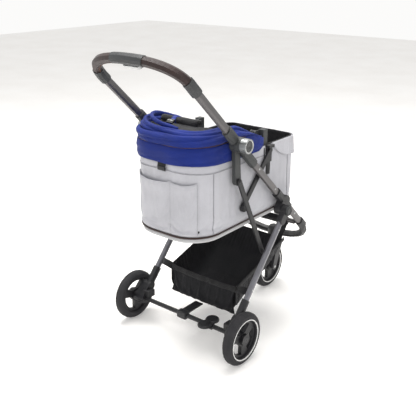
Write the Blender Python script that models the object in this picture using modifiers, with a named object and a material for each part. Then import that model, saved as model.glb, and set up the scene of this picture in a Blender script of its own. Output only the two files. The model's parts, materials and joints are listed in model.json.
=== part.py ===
"""Pet stroller: three wheels, a folding frame, a lift-off carrier bag with a folded canopy, and a basket.

The pusher stands on the +Y side and pushes toward -Y, so the pusher's left hand is on the +X side.
Places in the side view are (y, z) pairs, measured from the point on the ground under the rear axle.
"""

import math

import bmesh
import bpy
from mathutils import Euler, Matrix, Vector

# Clearances
GAP = 0.0004  # between pieces that touch
FIT = 0.0003  # round a pin or a tube, in its hole
PAST = 0.02  # how far a cutter runs past what it cuts
OVERLAP = 0.001  # how deep a shape starts inside the one it is joined to
SIDES = (("left", 1), ("right", -1))

# Wheels
WHEEL_RADIUS = 0.090
WHEEL_WIDTH = 0.036
TYRE_THICKNESS = 0.026
TYRE_SHOULDER = 0.009
RIM_BAND = 0.009  # from the rim's seat in to its windows
RIM_WEB = 0.014
RIM_HUB_RADIUS = 0.020
SPOKES = 3
SPOKE_HALF_ANGLE = math.radians(17)
AXLE_RADIUS = 0.005
AXLE_BAR_RADIUS = 0.008

# Side frames: pivots in the side view
FRAME_SLOPE = math.radians(43.7)
UPPER_HUB = Vector((-0.050, 0.720))
LEG_PIVOT_DROP = 0.0305  # below the main tube's centre line
LEG_PIVOT_DISTANCE = 0.379  # along the main tube, from the upper hub
ARM_PIVOT = Vector((-0.057, 0.600))
LINK_PIVOT_DISTANCE = 0.162  # along the rear leg, from its pivot
MAIN_TUBE_LENGTH = 0.562  # from the upper hub to the front end
HANDLE_TUBE_LENGTH = 0.287  # from the upper hub to the collar's middle

# Tubes and hubs
BAG_HALF_WIDTH = 0.146
BAG_TO_TUBE = 0.023
TUBE_WIDTH = 0.018
TUBE_WALL = 0.0015
MAIN_TUBE_DEPTH = 0.026
HANDLE_TUBE_DEPTH = 0.028
LEG_TUBE_DEPTH = 0.023
SLEEVE_WALL = 0.004
HUB_RADIUS = 0.024
HUB_BOLT_RADIUS = 0.006
HUB_CAP_WIDTH = 0.022
HUB_FLANGE = 0.008  # how far the frame's hub stands out past the sleeves
HUB_CAP_RECESS = 0.002
FRAME_NECK_RADIUS = HUB_RADIUS - 0.010
HANDLE_NECK_RADIUS = HUB_RADIUS - 0.0085
FRAME_SLEEVE_START = HUB_RADIUS + 0.022  # from the upper hub, clear of the fold arm
FRAME_SLEEVE_END = FRAME_SLEEVE_START + 0.071
HANDLE_SLEEVE_START = HUB_RADIUS + 0.0015
HANDLE_SLEEVE_END = HANDLE_SLEEVE_START + 0.0525
TUBE_INSERTION = 0.006  # how far inside a sleeve's start its tube begins
ARM_RADIUS = 0.0145
ARM_ROOT_RADIUS = HUB_RADIUS - 0.0115
PIVOT_PIN_RADIUS = 0.004
LINK_RADIUS = 0.008
LINK_THICKNESS = 0.006
LEG_HOUSING_BEFORE = 0.067  # along the main tube, from the leg's pivot up to the housing's end
LEG_HOUSING_AFTER = 0.045
LEG_LUG_ROOT_RADIUS = 0.024
LEG_LUG_RADIUS = 0.020
LEG_KNUCKLE_RADIUS = 0.019
LEG_KNUCKLE_FLANGE = 0.002
LEG_NECK_RADIUS = 0.0145
LEG_NECK_LENGTH = 0.040
LEG_TUBE_START = 0.026  # along the leg, from its pivot
LEG_PIN_RADIUS = 0.006
LEG_PIN_HEAD = 0.005
LEG_TO_WHEEL = 0.0155
FOOT_LENGTH = 0.082
FOOT_END = 0.040  # from the foot's end to the axle
FOOT_EXTRA_WIDTH = 0.007
SHOE_RADIUS = 0.020
SHOE_ROOT_RADIUS = 0.016
SHOE_ROOT = 0.050  # from the shoe's upper end to the axle
LEG_TUBE_END = 0.045
BRAKE_BLOCK = (0.030, 0.034, 0.026)
BRAKE_BLOCK_AHEAD = 0.014
BRAKE_BLOCK_ABOVE = 0.018
CROSSBAR_RADIUS = 0.009
CROSSBAR_DISTANCE = 0.526
CROSSBAR_DROP = 0.012
SOCKET_LENGTH = 0.038
SOCKET_PAST_TUBE = 0.012

# Handle
GRIP_SLOPE = math.radians(47.7)
GRIP_RISE = 0.095  # from the collars up to the middle of the handle
GRIP_CURVE_POWER = 2.4
GRIP_CORE_RADIUS = 0.009
GRIP_RADIUS = 0.0150
COLLAR_RADIUS = 0.0175
COLLAR_HALF_LENGTH = 0.022
COLLAR_END_ANGLE = 12.6  # round the handle's curve, in degrees
CENTRE_GRIP_RADIUS = 0.0163
CENTRE_GRIP_HALF = 0.060
LEVER_HALF = 0.034
LEVER_TRAVEL = 0.005
LEVER_DEPTH = 0.009
LEVER_END_RADIUS = 0.008
LEVER_GAP = 0.002  # left under the centre grip when the lever is squeezed
LEVER_POST_RADIUS = 0.0036
LEVER_POST_FIT = 0.0006
LEVER_POST_SPREAD = 0.6  # of the lever's half length

# Front fork
CASTER_AHEAD = 0.548  # swivel axis ahead of the rear axle
CASTER_TRAIL = 0.035
CASTER_HOUSING_RADIUS = 0.024
CASTER_HOUSING_BOTTOM = 2 * WHEEL_RADIUS + 0.027
CASTER_HOUSING_TOP = CASTER_HOUSING_BOTTOM + 0.040
CASTER_STEM = 2 * AXLE_RADIUS  # across its flats
CASTER_STEM_LENGTH = 0.030
FORK_CROWN_CLEARANCE = 0.0055
FORK_ROOT_RADIUS = 0.017
FORK_TIP_RADIUS = 0.013
FORK_ARM_THICKNESS = 0.011
FORK_CLEARANCE = 0.0045
YOKE_RADIUS = 0.0135
YOKE_STEPS = 6  # along each half

# Carrier bag
BAG_REAR = 0.102
BAG_FRONT = -0.437
BAG_BASE_BOTTOM = 0.415
BAG_BASE_TOP = 0.430
BAG_RIM = 0.668
BAG_WALL = 0.007
BAG_REAR_CORNER = 0.105
BAG_FRONT_CORNER = 0.035
PIPING_RADIUS = 0.0035
BAND_TOP = 0.722
BAND_FRONT = -0.235
ROLL_TOP = 0.757
ROLL_FRONT = -0.190
CUFF_BOTTOM = 0.612
CUFF_REAR = -0.290
CUFF_THICKNESS = 0.006
POCKET_TOP = 0.612
POCKET_FRONT = 0.045
POCKET_THICKNESS = 0.0045
CUSHION_THICKNESS = 0.020
CUSHION_CLEARANCE = 0.004
BAND_OUT = 0.009  # outside the bag's wall
BAND_IN = 0.010
ROLL_OUT = 0.006
ROLL_IN = 0.022
REAR_BOW_IN = 0.027
FRONT_BOW_IN = 0.037
REAR_BOW_LEVEL = 0.742
FRONT_BOW_LEVEL = 0.762
BOW_RADIUS = 0.004
BOW_EYE_RADIUS = 0.0085
BOW_EYE_HALF = 0.0042
BOW_PIN_RADIUS = 0.0025
BOW_CLIMB = 0.8  # of the way to the bag's rear, where a bow is at its full height
HINGE_EAR = 0.004
WINDOW_ROLL_RADIUS = 0.014
WINDOW_ROLL_PLACE = Vector((0.022, 0.786))
WINDOW_ROLL_ENDS = (-0.085, 0.070)
CANOPY_PIVOT = Vector((-0.222, 0.712))
STAY_TOP = Vector((-0.263, 0.651))
STAY_BOTTOM = Vector((-0.111, 0.491))
STAY_RADIUS = 0.0085
STAY_THICKNESS = 0.007
STAY_CLEARANCE = 0.0045  # from the stay out to the sleeves' inner side
STAY_KNOB_RADIUS = 0.012
STAY_SPACER_RADIUS = 0.007
PLUG_WIDTH = 0.030
PLUG_HEIGHT = 0.060
PLUG_HOOK = 0.009
PLUG_ABOVE_STAY = 0.010
PLUG_PAST_STAY = 0.003

# Basket
BASKET_HALF_WIDTH = 0.150
BASKET_WALL = 0.005
BASKET_OUTLINE = ((-0.100, 0.203), (-0.092, 0.100), (-0.250, 0.160), (-0.362, 0.232), (-0.390, 0.292))
STRAP_X = 0.008
STRAP_CLIP = (0.040, 0.026, 0.026)
STRAP_WEB_WIDTH = 0.034
STRAP_WEB_THICKNESS = 0.004
PEDAL_X = -0.105
PEDAL_HALF_WIDTH = 0.017
PEDAL_WALL = 0.0045
PEDAL_LOBE = 0.021  # from the axle to a lobe's middle
PEDAL_LOBE_RADIUS = 0.024
PEDAL_LOBE_HALF = 0.0045
PEDAL_LOBE_ABOVE = 0.011

# Worked out from the sizes above
TUBE_X = BAG_HALF_WIDTH + BAG_TO_TUBE + TUBE_WIDTH / 2
SLEEVE_HALF = TUBE_WIDTH / 2 + SLEEVE_WALL
STAY_OUTER = TUBE_X - SLEEVE_HALF - STAY_CLEARANCE
STAY_INNER = STAY_OUTER - STAY_THICKNESS
LEG_INNER = TUBE_X + SLEEVE_HALF + GAP
LEG_X = LEG_INNER + TUBE_WIDTH / 2
WHEEL_INNER = LEG_X + TUBE_WIDTH / 2 + LEG_TO_WHEEL
WHEEL_X = WHEEL_INNER + WHEEL_WIDTH / 2
UP_TUBE = Vector((math.cos(FRAME_SLOPE), math.sin(FRAME_SLOPE)))
DOWN_TUBE = -UP_TUBE
BELOW_TUBE = Vector((math.sin(FRAME_SLOPE), -math.cos(FRAME_SLOPE)))
REAR_AXLE = Vector((0.0, WHEEL_RADIUS))
LEG_PIVOT = UPPER_HUB + DOWN_TUBE * LEG_PIVOT_DISTANCE + BELOW_TUBE * LEG_PIVOT_DROP
LEG_LENGTH = (REAR_AXLE - LEG_PIVOT).length
DOWN_LEG = (REAR_AXLE - LEG_PIVOT).normalized()
LINK_PIVOT = LEG_PIVOT + DOWN_LEG * LINK_PIVOT_DISTANCE
COLLAR = UPPER_HUB + UP_TUBE * HANDLE_TUBE_LENGTH
UP_GRIP = Vector((math.cos(GRIP_SLOPE), math.sin(GRIP_SLOPE)))
FRONT_AXLE = Vector((CASTER_TRAIL - CASTER_AHEAD, WHEEL_RADIUS))
RIM_SEAT = WHEEL_RADIUS - TYRE_THICKNESS
HANDLE_END = COLLAR.x + UP_GRIP.x * GRIP_RISE + CENTRE_GRIP_RADIUS
# The origin is under the middle of the whole object, from the front tyre to the back of the handle.
REAR_AXLE_Y = (WHEEL_RADIUS - FRONT_AXLE.x - HANDLE_END) / 2


# ---- Scene, materials and joints ----

def clear_scene():
    for obj in list(bpy.data.objects):
        bpy.data.objects.remove(obj, do_unlink=True)


def new_collection(name):
    collection = bpy.data.collections.new(name)
    bpy.context.scene.collection.children.link(collection)
    return collection


def make_material(name, colour, roughness, metallic=0.0):
    material = bpy.data.materials.new(name)
    material.use_nodes = True
    shader = material.node_tree.nodes["Principled BSDF"]
    shader.inputs["Base Color"].default_value = (*colour, 1.0)
    shader.inputs["Roughness"].default_value = roughness
    shader.inputs["Metallic"].default_value = metallic
    return material


def add_joint(name, x, place, parent):
    """An empty on a joint's axis, at (y, z) = place, that carries the pieces of one moving body."""
    empty = bpy.data.objects.new(name, None)
    empty.empty_display_size = 0.03
    parts.objects.link(empty)
    empty["place"] = (x, place[0], place[1])
    carry(empty, parent)
    empty.matrix_basis = Matrix.Translation(empty["place"])
    return empty


def carry(obj, joint):
    """Parents obj to joint and leaves it where it is."""
    obj.parent = joint
    if joint is not datum:
        obj.matrix_parent_inverse = Matrix.Translation(-Vector(joint["place"]))


def keep(obj, material, joint, smooth=True):
    """Files obj as one piece of the body that joint carries, with its material."""
    parts.objects.link(obj)
    carry(obj, joint)
    obj.data.materials.clear()
    obj.data.materials.append(material)
    if smooth and obj.type == "MESH":
        obj.data.shade_smooth()
        obj.data.set_sharp_from_angle(angle=math.radians(35))
    return obj


# ---- Shapes, each returned as a mesh object that no collection holds yet ----

def mesh_object(name, bm):
    mesh = bpy.data.meshes.new(name)
    bmesh.ops.recalc_face_normals(bm, faces=bm.faces)
    bm.to_mesh(mesh)
    bm.free()
    return bpy.data.objects.new(name, mesh)


def block(name, size, centre, tilt=0.0, bevel=0.0):
    """A box of the given size, turned by tilt about X, then centred on a point."""
    bm = bmesh.new()
    bmesh.ops.create_cube(bm, size=1.0)
    bmesh.ops.scale(bm, vec=size, verts=bm.verts)
    if bevel:
        bmesh.ops.bevel(bm, geom=bm.edges, offset=bevel, segments=2, profile=0.5, affect="EDGES")
    bmesh.ops.rotate(bm, matrix=Matrix.Rotation(tilt, 3, "X"), verts=bm.verts)
    bmesh.ops.translate(bm, vec=centre, verts=bm.verts)
    return mesh_object(name, bm)


def rod_x(name, radius, start, end, place, segments=18):
    """A cylinder along X between two x values, centred on (y, z) = place."""
    bm = bmesh.new()
    bmesh.ops.create_cone(
        bm, cap_ends=True, segments=segments, radius1=radius, radius2=radius, depth=end - start
    )
    bmesh.ops.rotate(bm, matrix=Matrix.Rotation(math.pi / 2, 3, "Y"), verts=bm.verts)
    bmesh.ops.translate(bm, vec=((start + end) / 2, place[0], place[1]), verts=bm.verts)
    return mesh_object(name, bm)


def side_rod(name, radius, inner, outer, side, place, segments=16):
    """A rod along X on one side of the object, from its inner to its outer distance from the middle."""
    start, end = sorted((side * inner, side * outer))
    return rod_x(name, radius, start, end, place, segments)


def side_hole(radius, side, place):
    """A cutter for a pin's hole through everything on one side of the object."""
    return side_rod("hole", radius + FIT, TUBE_X / 2, TUBE_X * 2, side, place)


def flat_shape(name, outlines, thickness):
    """A flat outline in local XY, with any further outlines as holes, extruded along local Z."""
    curve = bpy.data.curves.new(name, "CURVE")
    curve.dimensions = "2D"
    curve.fill_mode = "BOTH"
    curve.extrude = thickness / 2
    for outline in outlines:
        spline = curve.splines.new("POLY")
        spline.points.add(len(outline) - 1)
        for point, (x, y) in zip(spline.points, outline):
            point.co = (x, y, 0.0, 1.0)
        spline.use_cyclic_u = True
    return welded_mesh(bpy.data.objects.new(name, curve))


def welded_mesh(guide):
    """Turns a curve object into a closed mesh object with the same name and place."""
    name, place = guide.name, guide.matrix_world.copy()
    bpy.context.scene.collection.objects.link(guide)
    graph = bpy.context.evaluated_depsgraph_get()
    mesh = bpy.data.meshes.new_from_object(guide.evaluated_get(graph))
    bpy.data.objects.remove(guide)
    bm = bmesh.new()
    bm.from_mesh(mesh)
    bmesh.ops.remove_doubles(bm, verts=bm.verts, dist=0.00001)
    bmesh.ops.recalc_face_normals(bm, faces=bm.faces)
    bm.to_mesh(mesh)
    bm.free()
    mesh.name = name
    solid = bpy.data.objects.new(name, mesh)
    solid.matrix_world = place
    return solid


def put(obj, matrix):
    obj.data.transform(matrix)
    return obj


def side_plate(name, outlines, inner, outer, side):
    """Outlines in the side view (y, z), extruded along X from an inner to an outer distance."""
    plate = flat_shape(name, outlines, outer - inner)
    turn = Euler((math.pi / 2, 0.0, math.pi / 2)).to_matrix().to_4x4()
    return put(plate, Matrix.Translation((side * (inner + outer) / 2, 0.0, 0.0)) @ turn)


def stadium(width, depth, steps=4):
    """A flat-oval section: straight sides, with half-round ends at +Y and -Y."""
    radius = width / 2
    reach = depth / 2 - radius
    points = []
    for end in (1, -1):
        for step in range(steps + 1):
            angle = math.pi * step / steps
            points.append((end * radius * math.cos(angle), end * (reach + radius * math.sin(angle))))
    return points


def circle(centre, radius, steps=20):
    angles = (2 * math.pi * step / steps for step in range(steps))
    return [(centre[0] + radius * math.cos(a), centre[1] + radius * math.sin(a)) for a in angles]


def capsule(start, end, start_radius, end_radius, steps=6):
    """The outline round two circles and the straight lines that touch both."""
    start, end = Vector(start), Vector(end)
    span = end - start
    heading = math.atan2(span.y, span.x)
    lean = math.acos((start_radius - end_radius) / span.length)
    points = []
    for centre, radius, first, last in (
        (end, end_radius, -lean, lean),
        (start, start_radius, lean, 2 * math.pi - lean),
    ):
        for step in range(steps + 1):
            angle = heading + first + (last - first) * step / steps
            points.append((centre.x + radius * math.cos(angle), centre.y + radius * math.sin(angle)))
    return points


def prism(name, section, start, end, x, holes=()):
    """A section extruded between two places in the side view, at one x. Its Y lies in the side view."""
    start, end = Vector(start), Vector(end)
    along = end - start
    bar = flat_shape(name, [section, *holes], along.length)
    turn = Matrix.Rotation(math.atan2(-along.x, along.y), 4, "X")
    middle = (start + end) / 2
    return put(bar, Matrix.Translation((x, middle.x, middle.y)) @ turn)


def hollow_tube(name, depth, start, end, x):
    bore = stadium(TUBE_WIDTH - 2 * TUBE_WALL, depth - 2 * TUBE_WALL)
    return prism(name, stadium(TUBE_WIDTH, depth), start, end, x, holes=[bore])


def bent_tube(name, points, radius, resolution=2, closed=False):
    """A round tube along points, with filled ends."""
    curve = bpy.data.curves.new(name, "CURVE")
    curve.dimensions = "3D"
    curve.bevel_depth = radius
    curve.bevel_resolution = resolution
    curve.use_fill_caps = True
    spline = curve.splines.new("POLY")
    spline.points.add(len(points) - 1)
    for point, place in zip(spline.points, points):
        point.co = (*place, 1.0)
    spline.use_cyclic_u = closed
    return welded_mesh(bpy.data.objects.new(name, curve))


def turned(name, profile, steps=32):
    """A profile of (radius, height) points, from top to bottom down its outer side, turned about Z."""
    mesh = bpy.data.meshes.new(name)
    edges = [(index, index + 1) for index in range(len(profile) - 1)]
    mesh.from_pydata([(radius, 0.0, height) for radius, height in profile], edges, [])
    obj = bpy.data.objects.new(name, mesh)
    screw = obj.modifiers.new("Turn", "SCREW")
    screw.steps = steps
    screw.render_steps = steps
    screw.use_merge_vertices = True
    screw.merge_threshold = 0.00001
    bpy.context.scene.collection.objects.link(obj)
    graph = bpy.context.evaluated_depsgraph_get()
    solid = bpy.data.objects.new(name, bpy.data.meshes.new_from_object(obj.evaluated_get(graph)))
    bpy.data.objects.remove(obj)
    solid.name = name
    return solid


def join(obj, *others):
    return combine(obj, "UNION", others)


def cut(obj, *cutters):
    return combine(obj, "DIFFERENCE", cutters)


def combine(obj, operation, others):
    """Adds exact Booleans with other shapes, which wait hidden in the cutters collection."""
    for other in others:
        helpers.objects.link(other)
        carry(other, datum)
        other.name = obj.name + "_" + operation.lower()
        other.hide_render = True
        other.display_type = "WIRE"
        boolean = obj.modifiers.new(operation.title(), "BOOLEAN")
        boolean.operation = operation
        boolean.solver = "EXACT"
        boolean.object = other
    return obj


def on_main_tube(distance, drop=0.0):
    return UPPER_HUB + DOWN_TUBE * distance + BELOW_TUBE * drop


def on_handle_tube(distance):
    return UPPER_HUB + UP_TUBE * distance


def on_leg(distance):
    return LEG_PIVOT + DOWN_LEG * distance


# ---- Side frames ----

def sleeve(name, depth, start, end, x):
    return prism(name, stadium(TUBE_WIDTH + 2 * SLEEVE_WALL, depth + 2 * SLEEVE_WALL), start, end, x)


def tube_cutter(depth, start, end, x):
    return prism("bore", stadium(TUBE_WIDTH + 2 * FIT, depth + 2 * FIT), start, end, x)


def add_side_frame(side_name, side):
    """The main tube, the frame's half of the upper hub, its bolt, and the housing that holds the rear leg."""
    x = side * TUBE_X
    tube_start = FRAME_SLEEVE_START + TUBE_INSERTION
    tube = hollow_tube(
        f"main_tube_{side_name}", MAIN_TUBE_DEPTH,
        on_main_tube(tube_start), on_main_tube(MAIN_TUBE_LENGTH), x,
    )
    keep(tube, gunmetal, datum)

    hub = side_rod(
        f"frame_hub_{side_name}", HUB_RADIUS, TUBE_X + GAP, TUBE_X + SLEEVE_HALF + HUB_FLANGE, side,
        UPPER_HUB, 28,
    )
    neck = side_plate(
        "neck", [capsule(UPPER_HUB, on_main_tube(tube_start), FRAME_NECK_RADIUS, FRAME_NECK_RADIUS)],
        TUBE_X + GAP, TUBE_X + SLEEVE_HALF - OVERLAP / 2, side,
    )
    wrap = sleeve(
        "wrap", MAIN_TUBE_DEPTH, on_main_tube(FRAME_SLEEVE_START), on_main_tube(FRAME_SLEEVE_END), x
    )
    bore = tube_cutter(
        MAIN_TUBE_DEPTH, on_main_tube(tube_start - GAP), on_main_tube(FRAME_SLEEVE_END + PAST), x
    )
    bolt_hole = side_hole(HUB_BOLT_RADIUS, side, UPPER_HUB)
    keep(cut(join(hub, neck, wrap), bore, bolt_hole), hub_plastic, datum)

    cap_inner = TUBE_X + SLEEVE_HALF + HUB_FLANGE + GAP
    cap = side_rod(
        f"hub_cap_{side_name}", HUB_RADIUS - OVERLAP, cap_inner, cap_inner + HUB_CAP_WIDTH, side, UPPER_HUB, 28
    )
    bolt = side_rod(
        "bolt", HUB_BOLT_RADIUS, TUBE_X - SLEEVE_HALF + OVERLAP, cap_inner + OVERLAP, side, UPPER_HUB
    )
    face = side_rod(
        "face", HUB_RADIUS - 0.005, cap_inner + HUB_CAP_WIDTH - HUB_CAP_RECESS,
        cap_inner + HUB_CAP_WIDTH + PAST, side, UPPER_HUB, 28,
    )
    keep(cut(join(cap, bolt), face), hub_metal, datum)

    clamp_start = LEG_PIVOT_DISTANCE - LEG_HOUSING_BEFORE
    clamp_end = LEG_PIVOT_DISTANCE + LEG_HOUSING_AFTER
    clamp = sleeve(
        f"leg_housing_{side_name}", MAIN_TUBE_DEPTH, on_main_tube(clamp_start), on_main_tube(clamp_end), x
    )
    lug_path = (on_main_tube(LEG_PIVOT_DISTANCE), LEG_PIVOT)
    lug = side_plate(
        "lug", [capsule(*lug_path, LEG_LUG_ROOT_RADIUS, LEG_LUG_RADIUS)],
        TUBE_X - SLEEVE_HALF + OVERLAP / 2, TUBE_X + SLEEVE_HALF - OVERLAP / 2, side,
    )
    passage = tube_cutter(
        MAIN_TUBE_DEPTH, on_main_tube(clamp_start - PAST), on_main_tube(clamp_end + PAST), x
    )
    pin_hole = side_hole(LEG_PIN_RADIUS, side, LEG_PIVOT)
    keep(cut(join(clamp, lug), passage, pin_hole), black_plastic, datum)

    head_start = LEG_X + TUBE_WIDTH / 2 + LEG_KNUCKLE_FLANGE + GAP
    pin = side_rod(
        f"leg_pin_{side_name}", LEG_PIN_RADIUS, TUBE_X - SLEEVE_HALF + OVERLAP, head_start + OVERLAP,
        side, LEG_PIVOT,
    )
    head = side_rod(
        "head", LEG_KNUCKLE_RADIUS - 2 * OVERLAP, head_start, head_start + LEG_PIN_HEAD, side, LEG_PIVOT, 24
    )
    keep(join(pin, head), hub_plastic, datum)


def add_stay(side_name, side):
    """The flat diagonal bar that the bag plugs onto, standing off the main tube's inner side."""
    stay = side_plate(
        f"bag_stay_{side_name}", [capsule(STAY_TOP, STAY_BOTTOM, STAY_RADIUS, STAY_RADIUS)],
        STAY_INNER, STAY_OUTER, side,
    )
    along = (STAY_BOTTOM - STAY_TOP).normalized()
    normal = Vector((-DOWN_TUBE.y, DOWN_TUBE.x))
    crossing = STAY_TOP + along * ((UPPER_HUB - STAY_TOP).dot(normal) / along.dot(normal))
    spacer = side_rod(
        "spacer", STAY_SPACER_RADIUS, STAY_OUTER - 2 * OVERLAP, TUBE_X - TUBE_WIDTH / 2 - GAP, side, crossing
    )
    knob = side_rod(
        "knob", STAY_KNOB_RADIUS, STAY_INNER, STAY_OUTER + STAY_THICKNESS - OVERLAP, side, STAY_BOTTOM, 20
    )
    keep(join(stay, spacer, knob), black_plastic, datum)


def add_front():
    """The yoke between the main tubes' front ends, with the caster's housing, and the crossbar."""
    end = on_main_tube(MAIN_TUBE_LENGTH + 0.004)
    housing_middle = (CASTER_HOUSING_BOTTOM + CASTER_HOUSING_TOP) / 2
    bow = []
    for step in range(-YOKE_STEPS, YOKE_STEPS + 1):
        share = abs(step) / YOKE_STEPS
        across = TUBE_X * math.sin(math.pi / 2 * share)
        rise = 1 - math.cos(math.pi / 2 * share)
        bow.append((
            math.copysign(across, step) if step else 0.0,
            -CASTER_AHEAD + (end.x + CASTER_AHEAD) * rise,
            housing_middle + (end.y - 0.004 - housing_middle) * rise,
        ))
    yoke = bent_tube("front_yoke", bow, YOKE_RADIUS)
    housing = turned("housing", [
        (0.0, CASTER_HOUSING_TOP + 0.006),
        (CASTER_HOUSING_RADIUS * 0.7, CASTER_HOUSING_TOP + 0.004),
        (CASTER_HOUSING_RADIUS, CASTER_HOUSING_TOP - 0.006),
        (CASTER_HOUSING_RADIUS, CASTER_HOUSING_BOTTOM),
        (0.0, CASTER_HOUSING_BOTTOM),
    ], 24)
    put(housing, Matrix.Translation((0.0, -CASTER_AHEAD, 0.0)))
    extras = [housing]
    bores = []
    for _, side in SIDES:
        x = side * TUBE_X
        extras.append(sleeve(
            "socket", MAIN_TUBE_DEPTH, on_main_tube(MAIN_TUBE_LENGTH + SOCKET_PAST_TUBE - SOCKET_LENGTH),
            on_main_tube(MAIN_TUBE_LENGTH + SOCKET_PAST_TUBE), x,
        ))
        bores.append(tube_cutter(
            MAIN_TUBE_DEPTH, on_main_tube(MAIN_TUBE_LENGTH - SOCKET_LENGTH),
            on_main_tube(MAIN_TUBE_LENGTH + GAP), x,
        ))
    # Wide enough for the square stem's corners as it turns
    hole_width = CASTER_STEM * math.sqrt(2) + 2 * FIT
    stem_hole = block(
        "stem_hole", (hole_width, hole_width, 2 * CASTER_STEM_LENGTH),
        (0.0, -CASTER_AHEAD, CASTER_HOUSING_BOTTOM),
    )
    keep(cut(join(yoke, *extras), stem_hole, *bores), black_plastic, datum)

    reach = TUBE_X - TUBE_WIDTH / 2 - GAP
    crossbar = rod_x(
        "front_crossbar", CROSSBAR_RADIUS, -reach, reach, on_main_tube(CROSSBAR_DISTANCE, CROSSBAR_DROP)
    )
    keep(crossbar, gunmetal, datum)


# ---- Handle ----

def grip_point(angle, share=1.0):
    """A point of the handle's curve, from the left collar (0) over the middle (90 degrees) to the right."""
    power = 2 / GRIP_CURVE_POWER
    across = math.copysign(abs(math.cos(angle)) ** power, math.cos(angle)) * TUBE_X * share
    rise = math.sin(angle) ** power * GRIP_RISE
    place = COLLAR + UP_GRIP * rise
    return (across, place.x, place.y)


def grip_curve(first, last, steps):
    """Points of the handle's curve between two angles in degrees, with short ends that square its caps."""
    angles = [first + (last - first) * step / steps for step in range(steps + 1)]
    square = math.copysign(0.6, last - first)
    angles = [first, first + square, *angles[1:-1], last - square, last]
    return [grip_point(math.radians(angle)) for angle in angles]


def core_curve():
    return grip_curve(0.5, 179.5, 18)


def centre_grip_angle():
    return math.degrees(math.acos((CENTRE_GRIP_HALF / TUBE_X) ** (GRIP_CURVE_POWER / 2)))


def add_handle():
    core = bent_tube("handle_core", core_curve(), GRIP_CORE_RADIUS)
    keep(core, gunmetal, handle_joint)
    edge = centre_grip_angle()
    start = COLLAR_END_ANGLE + 0.4
    for side_name, first, last in (("left", start, edge - 0.3), ("right", 180 - start, 180.3 - edge)):
        grip = bent_tube(f"grip_{side_name}", grip_curve(first, last, 10), GRIP_RADIUS)
        bore = bent_tube("bore", core_curve(), GRIP_CORE_RADIUS + FIT)
        keep(cut(grip, bore), leather, handle_joint)
    centre = bent_tube("centre_grip", grip_curve(edge, 180 - edge, 6), CENTRE_GRIP_RADIUS, resolution=3)
    bore = bent_tube("bore", core_curve(), GRIP_CORE_RADIUS + FIT)
    post_holes = []
    for x in lever_xs():
        post_holes.append(prism(
            "post_hole", circle((0, 0), LEVER_POST_RADIUS + LEVER_POST_FIT, 12),
            below_handle_middle(CENTRE_GRIP_RADIUS + 4 * OVERLAP),
            below_handle_middle(GRIP_CORE_RADIUS + FIT), x,
        ))
    keep(cut(centre, bore, *post_holes), hub_plastic, handle_joint)
    for side_name, side in SIDES:
        add_handle_side(side_name, side)


def lever_xs():
    return (-LEVER_HALF * LEVER_POST_SPREAD, LEVER_HALF * LEVER_POST_SPREAD)


def below_handle_middle(distance):
    """The (y, z) place at a distance below the handle's middle line, in the handle's plane."""
    return COLLAR + UP_GRIP * (GRIP_RISE - distance)


def add_release_lever():
    """The squeeze lever under the middle of the handle, on two posts that slide into the centre grip."""
    top = CENTRE_GRIP_RADIUS + LEVER_TRAVEL + LEVER_GAP
    bar = prism(
        "release_lever", lever_outline(), below_handle_middle(top + LEVER_DEPTH), below_handle_middle(top), 0.0
    )
    posts = []
    for x in lever_xs():
        posts.append(prism(
            "post", circle((0, 0), LEVER_POST_RADIUS, 12), below_handle_middle(top + 2 * OVERLAP),
            below_handle_middle(CENTRE_GRIP_RADIUS - OVERLAP), x,
        ))
    keep(join(bar, *posts), silver, lever_joint)


def lever_outline():
    """A long oval, LEVER_HALF each way along X."""
    reach = LEVER_HALF - LEVER_END_RADIUS
    return capsule((-reach, 0), (reach, 0), LEVER_END_RADIUS, LEVER_END_RADIUS)


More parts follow.
